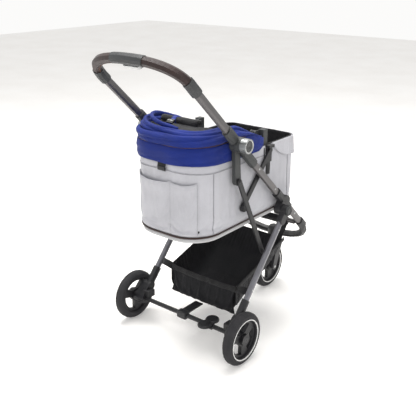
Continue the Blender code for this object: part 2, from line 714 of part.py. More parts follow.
def add_handle_side(side_name, side):
    """One upper tube, its collar, and the handle's half of the upper hub with the fold arm."""
    x = side * TUBE_X
    tube_start = HANDLE_SLEEVE_START + TUBE_INSERTION
    tube_end = HANDLE_TUBE_LENGTH - 4 * OVERLAP
    tube = hollow_tube(
        f"handle_tube_{side_name}", HANDLE_TUBE_DEPTH, on_handle_tube(tube_start), on_handle_tube(tube_end), x
    )
    keep(tube, gunmetal, handle_joint)

    lower = on_handle_tube(HANDLE_TUBE_LENGTH - COLLAR_HALF_LENGTH)
    bend = [(side * px, py, pz) for px, py, pz in grip_curve(0.0, COLLAR_END_ANGLE, 2)]
    collar = bent_tube(
        f"grip_collar_{side_name}", [(x, lower.x, lower.y), bend[0], *bend[2:]], COLLAR_RADIUS, resolution=3
    )
    tube_bore = tube_cutter(
        HANDLE_TUBE_DEPTH, on_handle_tube(tube_end - 2 * COLLAR_HALF_LENGTH - PAST),
        on_handle_tube(tube_end + GAP), x,
    )
    core_bore = bent_tube(
        "core_bore", [grip_point(0.0), *core_curve(), grip_point(math.pi)], GRIP_CORE_RADIUS + FIT
    )
    keep(cut(collar, tube_bore, core_bore), hub_plastic, handle_joint)

    hub = side_rod(
        f"handle_hub_{side_name}", HUB_RADIUS, TUBE_X - SLEEVE_HALF - OVERLAP, TUBE_X - GAP, side, UPPER_HUB, 28
    )
    neck = side_plate(
        "neck",
        [capsule(UPPER_HUB, on_handle_tube(tube_start), HANDLE_NECK_RADIUS, HANDLE_NECK_RADIUS - OVERLAP)],
        TUBE_X - SLEEVE_HALF + 1.2 * OVERLAP, TUBE_X - 2 * GAP, side,
    )
    wrap = sleeve(
        "wrap", HANDLE_TUBE_DEPTH, on_handle_tube(HANDLE_SLEEVE_START), on_handle_tube(HANDLE_SLEEVE_END), x
    )
    arm = side_plate(
        "arm", [capsule(UPPER_HUB, ARM_PIVOT, ARM_ROOT_RADIUS, ARM_RADIUS)],
        TUBE_X - SLEEVE_HALF - OVERLAP / 2, TUBE_X - 1.5 * GAP, side,
    )
    bore = tube_cutter(
        HANDLE_TUBE_DEPTH, on_handle_tube(tube_start - GAP), on_handle_tube(HANDLE_SLEEVE_END + PAST), x
    )
    bolt_hole = side_hole(HUB_BOLT_RADIUS, side, UPPER_HUB)
    pin_hole = side_hole(PIVOT_PIN_RADIUS, side, ARM_PIVOT)
    keep(cut(join(hub, neck, wrap, arm), bore, bolt_hole, pin_hole), hub_plastic, handle_joint)


def add_link(side_name, side, joint):
    """The flat bar from the fold arm to the rear leg, with its pin through the arm."""
    inner = TUBE_X + GAP
    outer = inner + LINK_THICKNESS
    bar = side_plate(
        f"link_bar_{side_name}", [capsule(ARM_PIVOT, LINK_PIVOT, LINK_RADIUS + OVERLAP, LINK_RADIUS)],
        inner, outer, side,
    )
    pin = side_rod(
        "pin", PIVOT_PIN_RADIUS, TUBE_X - SLEEVE_HALF + OVERLAP, inner + OVERLAP, side, ARM_PIVOT
    )
    boss = side_rod("boss", LINK_RADIUS - OVERLAP, inner + OVERLAP, LEG_INNER - GAP, side, LINK_PIVOT)
    keep(join(bar, pin, boss), black_plastic, joint)


# ---- Rear legs, wheels and brake ----

def add_leg(side_name, side):
    """A rear leg with its knuckle at the frame and its foot at the axle."""
    x = side * LEG_X
    tube = hollow_tube(
        f"rear_leg_{side_name}", LEG_TUBE_DEPTH, on_leg(LEG_TUBE_START), on_leg(LEG_LENGTH - LEG_TUBE_END), x
    )
    keep(tube, leg_grey, leg_joint)

    outer = LEG_X + TUBE_WIDTH / 2 + LEG_KNUCKLE_FLANGE
    knuckle = side_rod(
        f"leg_knuckle_{side_name}", LEG_KNUCKLE_RADIUS, LEG_INNER, outer, side, LEG_PIVOT, 24
    )
    neck_path = (LEG_PIVOT, on_leg(LEG_NECK_LENGTH))
    neck = side_plate(
        "neck", [capsule(*neck_path, LEG_NECK_RADIUS - OVERLAP, LEG_NECK_RADIUS)], LEG_INNER, outer, side
    )
    bore = tube_cutter(
        LEG_TUBE_DEPTH, on_leg(LEG_TUBE_START - GAP), on_leg(LEG_NECK_LENGTH + LEG_NECK_RADIUS + PAST), x
    )
    pin_hole = side_hole(LEG_PIN_RADIUS, side, LEG_PIVOT)
    keep(cut(join(knuckle, neck), bore, pin_hole), black_plastic, leg_joint)

    foot_start = LEG_LENGTH - FOOT_END - FOOT_LENGTH
    foot_inner = LEG_X - TUBE_WIDTH / 2 - 0.005
    foot = prism(
        f"rear_foot_{side_name}",
        stadium(TUBE_WIDTH + FOOT_EXTRA_WIDTH, LEG_TUBE_DEPTH + 2 * SLEEVE_WALL),
        on_leg(foot_start), on_leg(LEG_LENGTH - FOOT_END), x,
    )
    shoe = side_plate(
        "shoe", [capsule(on_leg(LEG_LENGTH - SHOE_ROOT), REAR_AXLE, SHOE_ROOT_RADIUS, SHOE_RADIUS)],
        foot_inner, WHEEL_INNER - OVERLAP / 2, side,
    )
    brake_block = block(
        "brake_block", BRAKE_BLOCK,
        (side * (foot_inner - 2 * OVERLAP), -BRAKE_BLOCK_AHEAD, REAR_AXLE.y + BRAKE_BLOCK_ABOVE), 0.0, 0.003,
    )
    bore = tube_cutter(
        LEG_TUBE_DEPTH, on_leg(foot_start - PAST), on_leg(LEG_LENGTH - LEG_TUBE_END + GAP), x
    )
    axle_hole = side_hole(AXLE_RADIUS, side, REAR_AXLE)
    bar_hole = side_rod(
        "bar_hole", AXLE_BAR_RADIUS + FIT, TUBE_X / 2, LEG_X - TUBE_WIDTH / 2 + FIT, side, REAR_AXLE
    )
    keep(cut(join(foot, shoe, brake_block), bore, axle_hole, bar_hole), black_plastic, leg_joint)


def add_rear_axle():
    """The bar between the feet, stepped down to the axle that passes through them into the wheels."""
    bar_end = LEG_X - TUBE_WIDTH / 2
    bar = rod_x("rear_axle", AXLE_BAR_RADIUS, -bar_end, bar_end, REAR_AXLE)
    axle_end = WHEEL_X + 0.008
    axle = rod_x("axle", AXLE_RADIUS, -axle_end, axle_end, REAR_AXLE)
    keep(join(bar, axle), dark_steel, leg_joint)


def add_basket_strap():
    """The webbing from the basket's rear hem to a clip on the axle bar."""
    clip = block("basket_strap", STRAP_CLIP, (STRAP_X, REAR_AXLE.x, REAR_AXLE.y), 0.0, 0.004)
    hem = BASKET_OUTLINE[1][0] + 3 * OVERLAP
    web = block(
        "web", (STRAP_WEB_WIDTH, REAR_AXLE.x - hem, STRAP_WEB_THICKNESS),
        (STRAP_X, (REAR_AXLE.x + hem) / 2, REAR_AXLE.y + 0.006),
    )
    hole = rod_x("hole", AXLE_BAR_RADIUS + FIT, STRAP_X - STRAP_CLIP[0], STRAP_X + STRAP_CLIP[0], REAR_AXLE)
    keep(cut(join(clip, web), hole), black_plastic, leg_joint)


def add_pedal():
    """The two-lobed brake pedal, rocking on the axle bar."""
    pedal = rod_x(
        "brake_pedal", AXLE_BAR_RADIUS + PEDAL_WALL, PEDAL_X - PEDAL_HALF_WIDTH, PEDAL_X + PEDAL_HALF_WIDTH,
        REAR_AXLE,
    )
    flat = PEDAL_LOBE_RADIUS - 0.003
    lobes = []
    for end in (-1, 1):
        lobe = turned("lobe", [
            (0.0, PEDAL_LOBE_HALF), (flat, PEDAL_LOBE_HALF), (PEDAL_LOBE_RADIUS, OVERLAP),
            (PEDAL_LOBE_RADIUS, -PEDAL_LOBE_HALF), (0.0, -PEDAL_LOBE_HALF),
        ], 18)
        place = (PEDAL_X, REAR_AXLE.x + end * PEDAL_LOBE, REAR_AXLE.y + PEDAL_LOBE_ABOVE)
        put(lobe, Matrix.Translation(place))
        lobes.append(lobe)
    reach = 2 * PEDAL_LOBE_RADIUS
    hole = rod_x("hole", AXLE_BAR_RADIUS + FIT, PEDAL_X - reach, PEDAL_X + reach, REAR_AXLE)
    keep(cut(join(pedal, *lobes), hole), black_plastic, pedal_joint)


def window(middle):
    """A rim window: the space between two spokes, with the hub inside and the rim's band outside."""
    inner, outer = RIM_HUB_RADIUS + 0.004, RIM_SEAT - RIM_BAND
    half = math.pi / SPOKES - SPOKE_HALF_ANGLE
    points = []
    for radius, start, end in ((outer, -half, half), (inner, half * 0.72, -half * 0.72)):
        for step in range(6):
            angle = middle + start + (end - start) * step / 5
            points.append((radius * math.cos(angle), radius * math.sin(angle)))
    return points


def add_wheel(name, x, axle, joint, through):
    """A rim with windows and a hub, and the tyre round it. Its axle hole is blind on the outer side."""
    windows = [window(2 * math.pi * (spoke + 0.5) / SPOKES + 0.4) for spoke in range(SPOKES)]
    turn = Euler((math.pi / 2, 0.0, math.pi / 2)).to_matrix().to_4x4()
    rim = flat_shape(f"rim_{name}", [circle((0, 0), RIM_SEAT - GAP, 32), *windows], RIM_WEB)
    put(rim, Matrix.Translation((x, axle.x, axle.y)) @ turn)
    side = 1 if x >= 0 else -1
    half = WHEEL_WIDTH / 2
    hub = rod_x("hub", RIM_HUB_RADIUS, x - half, x + half, axle)
    depth = half + 0.01 if through else 0.009
    low, high = sorted((x - side * (half + 0.01), x + side * depth))
    hole = rod_x("hole", AXLE_RADIUS + FIT, low, high, axle, 16)
    keep(cut(join(rim, hub), hole), black_plastic, joint)

    shoulder = TYRE_SHOULDER
    profile = [
        (RIM_SEAT, half - 0.005),
        (RIM_SEAT + 0.005, half),
        (WHEEL_RADIUS - shoulder, half - 0.001),
        (WHEEL_RADIUS - shoulder * 0.3, half - shoulder * 0.7),
        (WHEEL_RADIUS, half - shoulder * 1.3),
    ]
    section = profile + [(radius, -height) for radius, height in reversed(profile)] + [profile[0]]
    tyre = turned(f"tyre_{name}", section, 32)
    bm = bmesh.new()
    bm.from_mesh(tyre.data)
    bmesh.ops.remove_doubles(bm, verts=bm.verts, dist=0.00001)
    bmesh.ops.recalc_face_normals(bm, faces=bm.faces)
    bm.to_mesh(tyre.data)
    bm.free()
    put(tyre, Matrix.Translation((x, axle.x, axle.y)) @ Matrix.Rotation(math.pi / 2, 4, "Y"))
    keep(tyre, rubber, joint)


# ---- Front caster ----

def add_caster():
    """The fork that swivels under the yoke, with its stem, and the front wheel's axle pin."""
    crown_bottom = 2 * WHEEL_RADIUS + FORK_CROWN_CLEARANCE
    crown_top = CASTER_HOUSING_BOTTOM - GAP
    inner = WHEEL_WIDTH / 2 + FORK_CLEARANCE
    outer = inner + FORK_ARM_THICKNESS
    crown = turned("front_fork", [
        (0.0, crown_top), (outer - 0.003, crown_top), (outer + 0.001, crown_top - 0.004),
        (outer + 0.001, crown_bottom), (0.0, crown_bottom),
    ], 24)
    put(crown, Matrix.Translation((0.0, -CASTER_AHEAD, 0.0)))
    stem = block(
        "stem", (CASTER_STEM, CASTER_STEM, CASTER_STEM_LENGTH),
        (0.0, -CASTER_AHEAD, crown_top + CASTER_STEM_LENGTH / 3),
    )
    arm_top = Vector((-CASTER_AHEAD + 2 * OVERLAP, crown_bottom + OVERLAP))
    arms, holes = [], []
    for _, side in SIDES:
        arm = capsule(arm_top, FRONT_AXLE, FORK_ROOT_RADIUS, FORK_TIP_RADIUS)
        arms.append(side_plate("arm", [arm], inner, outer, side))
        holes.append(side_rod("hole", AXLE_RADIUS + FIT, inner / 2, outer + PAST, side, FRONT_AXLE, 16))
    keep(cut(join(crown, stem, *arms), *holes), fork_grey, caster_joint)
    pin = rod_x("front_axle_pin", AXLE_RADIUS, -outer - 0.002, outer + 0.002, FRONT_AXLE, 16)
    keep(pin, silver, caster_joint)


# ---- Carrier bag, canopy and basket ----

def bag_outline(grow=0.0, steps=5):
    """The bag's plan outline, grown outward: a rectangle with round corners, wider ones at the rear."""
    half = BAG_HALF_WIDTH + grow
    rear, front = BAG_REAR + grow, BAG_FRONT - grow
    corners = (
        (1, rear, BAG_REAR_CORNER + grow, 0),
        (-1, rear, BAG_REAR_CORNER + grow, 90),
        (-1, front, BAG_FRONT_CORNER + grow, 180),
        (1, front, BAG_FRONT_CORNER + grow, 270),
    )
    points = []
    for side, end, radius, first in corners:
        toward = 1 if end == rear else -1
        centre = (side * (half - radius), end - toward * radius)
        for step in range(steps + 1):
            angle = math.radians(first + 90 * step / steps)
            points.append((centre[0] + radius * math.cos(angle), centre[1] + radius * math.sin(angle)))
    return points


def plan_solid(name, outlines, bottom, top):
    solid = flat_shape(name, outlines, top - bottom)
    return put(solid, Matrix.Translation((0.0, 0.0, (bottom + top) / 2)))


def plan_ring(name, outer, inner, bottom, top, keep_from=None, keep_to=None):
    """A ring between two growths of the bag's outline, cut off ahead of or behind a y value."""
    ring = plan_solid(name, [bag_outline(outer), bag_outline(inner)], bottom, top)
    if keep_from is not None:
        cut(ring, block("front_cut", (1.0, 1.0, 1.0), (0.0, keep_from - 0.5, bottom)))
    if keep_to is not None:
        cut(ring, block("rear_cut", (1.0, 1.0, 1.0), (0.0, keep_to + 0.5, bottom)))
    return ring


def add_bag():
    base = plan_solid("bag_base", [bag_outline(-0.001)], BAG_BASE_BOTTOM, BAG_BASE_TOP)
    bead = [(x, y, BAG_BASE_TOP + PIPING_RADIUS) for x, y in bag_outline(-PIPING_RADIUS)]
    piping = bent_tube("piping", bead, PIPING_RADIUS, resolution=1, closed=True)
    filler = plan_solid(
        "filler", [bag_outline(-PIPING_RADIUS)], BAG_BASE_TOP - OVERLAP, BAG_BASE_TOP + PIPING_RADIUS
    )
    keep(join(base, filler, piping), base_trim, bag_joint)

    floor = BAG_BASE_TOP + 2 * PIPING_RADIUS + GAP
    lift = 4 * OVERLAP
    shell = plan_solid("bag_shell", [bag_outline()], floor, BAG_RIM)
    inside = plan_solid("inside", [bag_outline(-BAG_WALL)], floor + lift, BAG_RIM + PAST)
    keep(cut(shell, inside), light_fabric, bag_joint)

    pad = floor + lift + GAP
    cushion = plan_solid(
        "bag_cushion", [bag_outline(-BAG_WALL - CUSHION_CLEARANCE)], pad, pad + CUSHION_THICKNESS
    )
    keep(cushion, dark_fabric, bag_joint)

    pocket = plan_ring(
        "rear_pocket", POCKET_THICKNESS, GAP, floor + lift, POCKET_TOP, keep_from=POCKET_FRONT
    )
    keep(pocket, light_fabric, bag_joint)
    cuff = plan_ring("front_cuff", CUFF_THICKNESS, GAP, CUFF_BOTTOM, BAG_RIM, keep_to=CUFF_REAR)
    keep(cuff, light_fabric, bag_joint)
    for side_name, side in SIDES:
        add_bag_plug(side_name, side)


def add_bag_plug(side_name, side):
    """The clip on the bag's wall that drops over the top of the stay."""
    inner = BAG_HALF_WIDTH + GAP
    plate_outer = STAY_INNER - GAP
    hook_outer = STAY_OUTER + PLUG_PAST_STAY
    top = STAY_TOP.y + STAY_RADIUS + PLUG_ABOVE_STAY
    plug = block(
        f"bag_plug_{side_name}", (plate_outer - inner, PLUG_WIDTH, PLUG_HEIGHT),
        (side * (inner + plate_outer) / 2, STAY_TOP.x, top - PLUG_HEIGHT / 2),
    )
    hook = block(
        "hook", (hook_outer - inner, PLUG_WIDTH, PLUG_HOOK),
        (side * (inner + hook_outer) / 2, STAY_TOP.x, top - PLUG_HOOK / 2),
    )
    keep(join(plug, hook), black_plastic, bag_joint)


def bow_points(level, grow):
    """A canopy bow at rest: from one pivot back round the rear rim to the other pivot."""
    corner_start = BAG_REAR - BAG_REAR_CORNER - OVERLAP
    outline = [point for point in bag_outline(grow) if point[1] > corner_start]
    start = CANOPY_PIVOT.x
    half = BAG_HALF_WIDTH + grow
    arc = sorted(outline, key=lambda point: -math.atan2(point[0], point[1] - start))
    straight = start + 20 * OVERLAP
    points = [(half, start, CANOPY_PIVOT.y), (half, straight, CANOPY_PIVOT.y + OVERLAP)]
    climb = (BAG_REAR - start) * BOW_CLIMB
    for x, y in arc:
        share = min(1.0, (y - start) / climb)
        points.append((x, y, CANOPY_PIVOT.y + (level - CANOPY_PIVOT.y) * share))
    points += [(-half, straight, CANOPY_PIVOT.y + OVERLAP), (-half, start, CANOPY_PIVOT.y)]
    return points


def add_canopy():
    """The folded canopy: a band on the rim, the roll on it, and two bows hinged at the sides."""
    band = plan_ring("canopy_band", BAND_OUT, -BAND_IN, BAG_RIM + GAP, BAND_TOP, keep_from=BAND_FRONT)
    keep(band, blue_fabric, bag_joint)
    roll = plan_ring("canopy_roll", ROLL_OUT, -ROLL_IN, BAND_TOP + GAP, ROLL_TOP, keep_from=ROLL_FRONT)
    keep(roll, blue_fabric, bag_joint)

    for name, joint, inset, level in (
        ("canopy_bow_rear", rear_bow_joint, REAR_BOW_IN, REAR_BOW_LEVEL),
        ("canopy_bow_front", front_bow_joint, FRONT_BOW_IN, FRONT_BOW_LEVEL),
    ):
        bow = bent_tube(name, bow_points(level, -inset), BOW_RADIUS, resolution=1)
        half = BAG_HALF_WIDTH - inset
        eyes = []
        for _, side in SIDES:
            eyes.append(side_rod(
                "eye", BOW_EYE_RADIUS, half - BOW_EYE_HALF, half + BOW_EYE_HALF, side, CANOPY_PIVOT, 14
            ))
        pin_hole = rod_x("pin_hole", BOW_PIN_RADIUS + FIT, -TUBE_X, TUBE_X, CANOPY_PIVOT, 10)
        keep(cut(join(bow, *eyes), pin_hole), black_plastic, joint)
    for side_name, side in SIDES:
        add_canopy_hinge(side_name, side)

    window_roll = rod_x("window_roll", WINDOW_ROLL_RADIUS, *WINDOW_ROLL_ENDS, WINDOW_ROLL_PLACE, 20)
    keep(window_roll, dark_fabric, front_bow_joint)


def add_canopy_hinge(side_name, side):
    """The block on the bag's rim whose pin carries both bows' ends on one side."""
    outer = BAG_HALF_WIDTH - OVERLAP
    inner = BAG_HALF_WIDTH - REAR_BOW_IN + BOW_EYE_HALF + OVERLAP / 2
    bottom = BAG_RIM + GAP
    top = CANOPY_PIVOT.y + BOW_EYE_RADIUS + 1.5 * OVERLAP
    hinge = block(
        f"canopy_hinge_{side_name}", (outer - inner, 0.024, top - bottom),
        (side * (outer + inner) / 2, CANOPY_PIVOT.x - 0.0265, (top + bottom) / 2),
    )
    ear = side_rod("ear", BOW_EYE_RADIUS + OVERLAP / 2, inner, inner + HINGE_EAR, side, CANOPY_PIVOT, 14)
    web = block(
        "web", (HINGE_EAR, 0.030, 0.016),
        (side * (inner + HINGE_EAR / 2), CANOPY_PIVOT.x - 0.015, CANOPY_PIVOT.y),
    )
    pin_start = BAG_HALF_WIDTH - FRONT_BOW_IN - BOW_EYE_HALF - 1.8 * OVERLAP
    pin = side_rod("pin", BOW_PIN_RADIUS, pin_start, inner + OVERLAP, side, CANOPY_PIVOT, 10)
    keep(join(hinge, ear, web, pin), hub_plastic, bag_joint)


def add_basket():
    """The shopping basket: a sling with closed ends, open at the top, and its front hem on the crossbar."""
    low = [Vector(point) for point in BASKET_OUTLINE]
    middle = sum(low, Vector((0.0, 0.0))) / len(low)
    inside = []
    for point in low[1:-1]:
        inside.append(point + (middle - point).normalized() * BASKET_WALL * 1.5)
    rear_in = low[0] + Vector((-BASKET_WALL, 0.0))
    front_in = low[-1] + Vector((BASKET_WALL, 0.0))
    up = Vector((0.0, 0.05))
    cavity = [rear_in + up, rear_in, *inside, front_in, front_in + up]
    basket = side_plate("shopping_basket", [low], -BASKET_HALF_WIDTH, BASKET_HALF_WIDTH, 1)
    hollow = side_plate(
        "hollow", [cavity], -BASKET_HALF_WIDTH + BASKET_WALL, BASKET_HALF_WIDTH - BASKET_WALL, 1
    )
    keep(cut(basket, hollow), dark_fabric, datum)


clear_scene()
parts = new_collection("pet_stroller")
helpers = new_collection("cutters")
datum = bpy.data.objects.new("under_rear_axle", None)
datum.location = (0.0, REAR_AXLE_Y, 0.0)
parts.objects.link(datum)

gunmetal = make_material("gunmetal_tube", (0.16, 0.155, 0.16), 0.38, 0.7)
leg_grey = make_material("leg_tube", (0.20, 0.20, 0.22), 0.36, 0.7)
hub_plastic = make_material("dark_grey_plastic", (0.07, 0.072, 0.072), 0.55)
black_plastic = make_material("black_plastic", (0.02, 0.02, 0.022), 0.5)
hub_metal = make_material("hub_cap_metal", (0.30, 0.31, 0.31), 0.35, 0.8)
dark_steel = make_material("axle_steel", (0.03, 0.03, 0.032), 0.4, 0.6)
silver = make_material("lever_metal", (0.45, 0.45, 0.44), 0.35, 0.6)
fork_grey = make_material("fork_plastic", (0.06, 0.06, 0.062), 0.5)
leather = make_material("brown_leather", (0.055, 0.028, 0.022), 0.55)
rubber = make_material("tyre_rubber", (0.03, 0.03, 0.033), 0.8)
light_fabric = make_material("light_grey_fabric", (0.58, 0.58, 0.61), 0.9)
blue_fabric = make_material("blue_fabric", (0.015, 0.03, 0.27), 0.85)
dark_fabric = make_material("black_fabric", (0.012, 0.012, 0.016), 0.9)
base_trim = make_material("bag_base_fabric", (0.55, 0.55, 0.56), 0.85)

handle_joint = add_joint("handle_fold_axis", 0.0, UPPER_HUB, datum)
lever_joint = add_joint("release_lever_slide", 0.0, COLLAR + UP_GRIP * GRIP_RISE, datum)
leg_joint = add_joint("leg_fold_axis", 0.0, LEG_PIVOT, datum)
pedal_joint = add_joint("brake_pedal_axis", PEDAL_X, REAR_AXLE, datum)
caster_joint = add_joint("caster_swivel_axis", 0.0, (-CASTER_AHEAD, CASTER_HOUSING_BOTTOM), datum)
bag_joint = add_joint("bag_lift_off", 0.0, (0.0, BAG_BASE_BOTTOM), datum)
rear_bow_joint = add_joint("canopy_rear_bow_axis", 0.0, CANOPY_PIVOT, datum)
front_bow_joint = add_joint("canopy_front_bow_axis", 0.0, CANOPY_PIVOT, datum)

add_handle()
add_release_lever()
for side_name, side in SIDES:
    add_side_frame(side_name, side)
    add_stay(side_name, side)
    add_leg(side_name, side)
    link_joint = add_joint(f"link_{side_name}_axis", side * TUBE_X, ARM_PIVOT, datum)
    add_link(side_name, side, link_joint)
    spin = add_joint(f"rear_wheel_{side_name}_axis", side * WHEEL_X, REAR_AXLE, datum)
    add_wheel(f"rear_{side_name}", side * WHEEL_X, REAR_AXLE, spin, through=False)
add_front()
add_rear_axle()
add_basket_strap()
add_pedal()
add_caster()
front_spin = add_joint("front_wheel_axis", 0.0, FRONT_AXLE, datum)
add_wheel("front", 0.0, FRONT_AXLE, front_spin, through=True)
add_bag()
add_canopy()
add_basket()
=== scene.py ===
"""Looks for the pet stroller: sewn fabric, leather, plastics and metals round the fixed CAD frame."""

import json
import math

import bmesh
import bpy
import numpy as np
from mathutils import Matrix, Vector, noise


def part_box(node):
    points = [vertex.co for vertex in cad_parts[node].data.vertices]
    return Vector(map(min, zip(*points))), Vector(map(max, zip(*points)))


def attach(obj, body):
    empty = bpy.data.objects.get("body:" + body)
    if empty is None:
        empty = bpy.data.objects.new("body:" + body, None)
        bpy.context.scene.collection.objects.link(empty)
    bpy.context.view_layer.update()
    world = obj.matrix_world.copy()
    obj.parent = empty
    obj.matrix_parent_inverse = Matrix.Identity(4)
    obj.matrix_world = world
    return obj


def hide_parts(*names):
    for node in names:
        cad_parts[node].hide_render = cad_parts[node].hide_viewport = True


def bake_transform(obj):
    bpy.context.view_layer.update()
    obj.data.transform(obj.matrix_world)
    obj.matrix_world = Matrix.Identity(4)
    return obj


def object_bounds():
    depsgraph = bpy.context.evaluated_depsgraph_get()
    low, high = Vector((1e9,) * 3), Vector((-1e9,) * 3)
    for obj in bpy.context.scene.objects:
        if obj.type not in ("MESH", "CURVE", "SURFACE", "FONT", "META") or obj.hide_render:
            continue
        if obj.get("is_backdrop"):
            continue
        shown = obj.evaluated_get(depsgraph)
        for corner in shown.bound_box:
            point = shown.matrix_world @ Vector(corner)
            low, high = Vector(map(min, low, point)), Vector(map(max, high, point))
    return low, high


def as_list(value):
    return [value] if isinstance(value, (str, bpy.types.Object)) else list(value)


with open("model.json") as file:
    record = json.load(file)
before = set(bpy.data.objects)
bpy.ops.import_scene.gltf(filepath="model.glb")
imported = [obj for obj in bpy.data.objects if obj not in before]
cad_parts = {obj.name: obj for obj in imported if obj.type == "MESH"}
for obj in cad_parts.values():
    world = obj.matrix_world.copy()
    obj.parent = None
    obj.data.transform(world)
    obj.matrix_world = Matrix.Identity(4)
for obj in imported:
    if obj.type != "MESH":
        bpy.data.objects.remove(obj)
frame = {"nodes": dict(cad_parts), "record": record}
cad_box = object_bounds()
scene = bpy.context.scene

SIDES = (("left", 1), ("right", -1))

# The bag's plan outline, from its CAD solid
BAG_LOW, BAG_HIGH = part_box("bag_shell")
HALF_WIDTH = BAG_HIGH.x
REAR_CORNER = 0.105
FRONT_CORNER = 0.035
AXLE_Y = sum(corner.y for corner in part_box("rear_axle")) / 2
REAR_HALF = HALF_WIDTH - REAR_CORNER
CORNER_END = REAR_HALF + REAR_CORNER * math.pi / 2
SIDE_END = CORNER_END + (BAG_HIGH.y - REAR_CORNER) - (BAG_LOW.y + FRONT_CORNER)
FRONT_END = SIDE_END + FRONT_CORNER * math.pi / 2
HALF_ROUND = FRONT_END + HALF_WIDTH - FRONT_CORNER
RIM = BAG_HIGH.z
WALL_BOTTOM = BAG_LOW.z


# ---- Materials ----

class Shader:
    """A Principled material with short calls for the nodes that feed it."""

    def __init__(self, name, roughness, metallic=0.0, **sockets):
        self.material = bpy.data.materials.new(name)
        self.material.use_nodes = True
        self.tree = self.material.node_tree
        self.principled = self.tree.nodes["Principled BSDF"]
        self.place = self.node("ShaderNodeTexCoord").outputs["Object"]
        self.set(Roughness=roughness, Metallic=metallic)
        for socket, value in sockets.items():
            self.principled.inputs[socket.replace("_", " ")].default_value = value

    def node(self, kind, **inputs):
        made = self.tree.nodes.new(kind)
        for socket, value in inputs.items():
            self.feed(made.inputs[socket.replace("_", " ")], value)
        return made

    def feed(self, socket, value):
        if isinstance(value, bpy.types.NodeSocket):
            self.tree.links.new(value, socket)
        else:
            socket.default_value = value

    def set(self, **inputs):
        for socket, value in inputs.items():
            self.feed(self.principled.inputs[socket.replace("_", " ")], value)

    def math(self, operation, *values):
        made = self.tree.nodes.new("ShaderNodeMath")
        made.operation = operation
        for socket, value in zip(made.inputs, values):
            self.feed(socket, value)
        return made.outputs[0]

    def along(self, direction):
        made = self.tree.nodes.new("ShaderNodeVectorMath")
        made.operation = "DOT_PRODUCT"
        self.feed(made.inputs[0], self.place)
        made.inputs[1].default_value = direction
        return made.outputs["Value"]

    def noise(self, scale, detail=3.0, roughness=0.55):
        return self.node(
            "ShaderNodeTexNoise", Vector=self.place, Scale=scale, Detail=detail, Roughness=roughness
        ).outputs["Fac"]

    def cells(self, scale, feature="F1"):
        made = self.node("ShaderNodeTexVoronoi", Vector=self.place, Scale=scale)
        made.feature = feature
        return made.outputs["Distance"]

    def ramp(self, value, low, high, dark, light):
        """Colour from dark to light as value goes from low to high."""
        made = self.tree.nodes.new("ShaderNodeValToRGB")
        self.feed(made.inputs["Fac"], value)
        first, last = made.color_ramp.elements
        first.position, last.position = low, high
        first.color, last.color = (*dark, 1.0), (*light, 1.0)
        return made.outputs["Color"]

    def spread(self, value, low, high, to_low, to_high):
        made = self.node("ShaderNodeMapRange", Value=value)
        for socket, number in zip(("From Min", "From Max", "To Min", "To Max"), (low, high, to_low, to_high)):
            made.inputs[socket].default_value = number
        return made.outputs["Result"]

    def bump(self, *layers):
        """Each layer is (height, distance in metres, strength). They are stacked in order."""
        normal = None
        for height, distance, strength in layers:
            made = self.node("ShaderNodeBump", Height=height, Distance=distance, Strength=strength)
            if normal is not None:
                self.feed(made.inputs["Normal"], normal)
            normal = made.outputs["Normal"]
        self.set(Normal=normal)


def shade(colour, factor):
    return tuple(min(1.0, channel * factor) for channel in colour)


def fabric(name, colour, pitch, roughness=0.85, depth=0.00025, crease=0.0012, sheen=0.25, contrast=0.14):
    """Woven cloth: a two-way weave, slubs in its yarns, soft creases and a little sheen."""
    cloth = Shader(name, roughness, Sheen_Weight=sheen, Sheen_Roughness=0.45, Specular_IOR_Level=0.25)
    turn = 2 * math.pi / pitch
    warp = cloth.math("SINE", cloth.math("MULTIPLY", cloth.along((1.0, 0.97, 0.0)), turn))
    weft = cloth.math("SINE", cloth.math("MULTIPLY", cloth.along((0.16, -0.16, 1.0)), turn))
    weave = cloth.math("MULTIPLY", warp, weft)
    slub = cloth.noise(420.0, 2.0)
    creases = cloth.noise(26.0, 4.0, 0.6)
    patches = cloth.noise(9.0, 3.0)
    tone = cloth.math("ADD", cloth.math("MULTIPLY", slub, 0.35), cloth.math("MULTIPLY", patches, 0.65))
    tone = cloth.math("ADD", tone, cloth.math("MULTIPLY", weave, 0.06))
    cloth.set(Base_Color=cloth.ramp(tone, 0.3, 0.7, shade(colour, 1 - contrast), shade(colour, 1 + contrast)))
    cloth.set(Roughness=cloth.spread(slub, 0.3, 0.7, roughness - 0.06, roughness + 0.08))
    cloth.bump((creases, crease, 0.5), (weave, depth, 0.6), (slub, depth, 0.5))
    return cloth.material


def plastic(name, colour, roughness=0.5, grain=0.00005, wear=1.6):
    """Moulded plastic: spark-eroded grain, slight flow marks, and lighter rubbed edges."""
    shell = Shader(name, roughness, Specular_IOR_Level=0.45)
    clouds = shell.noise(38.0, 3.0)
    body = shell.ramp(clouds, 0.3, 0.7, shade(colour, 0.86), shade(colour, 1.14))
    edges = shell.ramp(
        shell.node("ShaderNodeNewGeometry").outputs["Pointiness"], 0.52, 0.62, (0, 0, 0), (1, 1, 1)
    )
    mix = shell.tree.nodes.new("ShaderNodeMix")
    mix.data_type = "RGBA"
    shell.feed(mix.inputs["Factor"], shell.math("MULTIPLY", edges, 0.5))
    shell.feed(mix.inputs[6], body)
    mix.inputs[7].default_value = (*shade(colour, wear), 1.0)
    shell.set(Base_Color=mix.outputs[2])
    shell.set(Roughness=shell.spread(shell.noise(160.0), 0.3, 0.7, roughness - 0.06, roughness + 0.08))
    shell.bump((shell.noise(1700.0, 2.0), grain, 0.6), (shell.cells(900.0), grain, 0.3))
    return shell.material


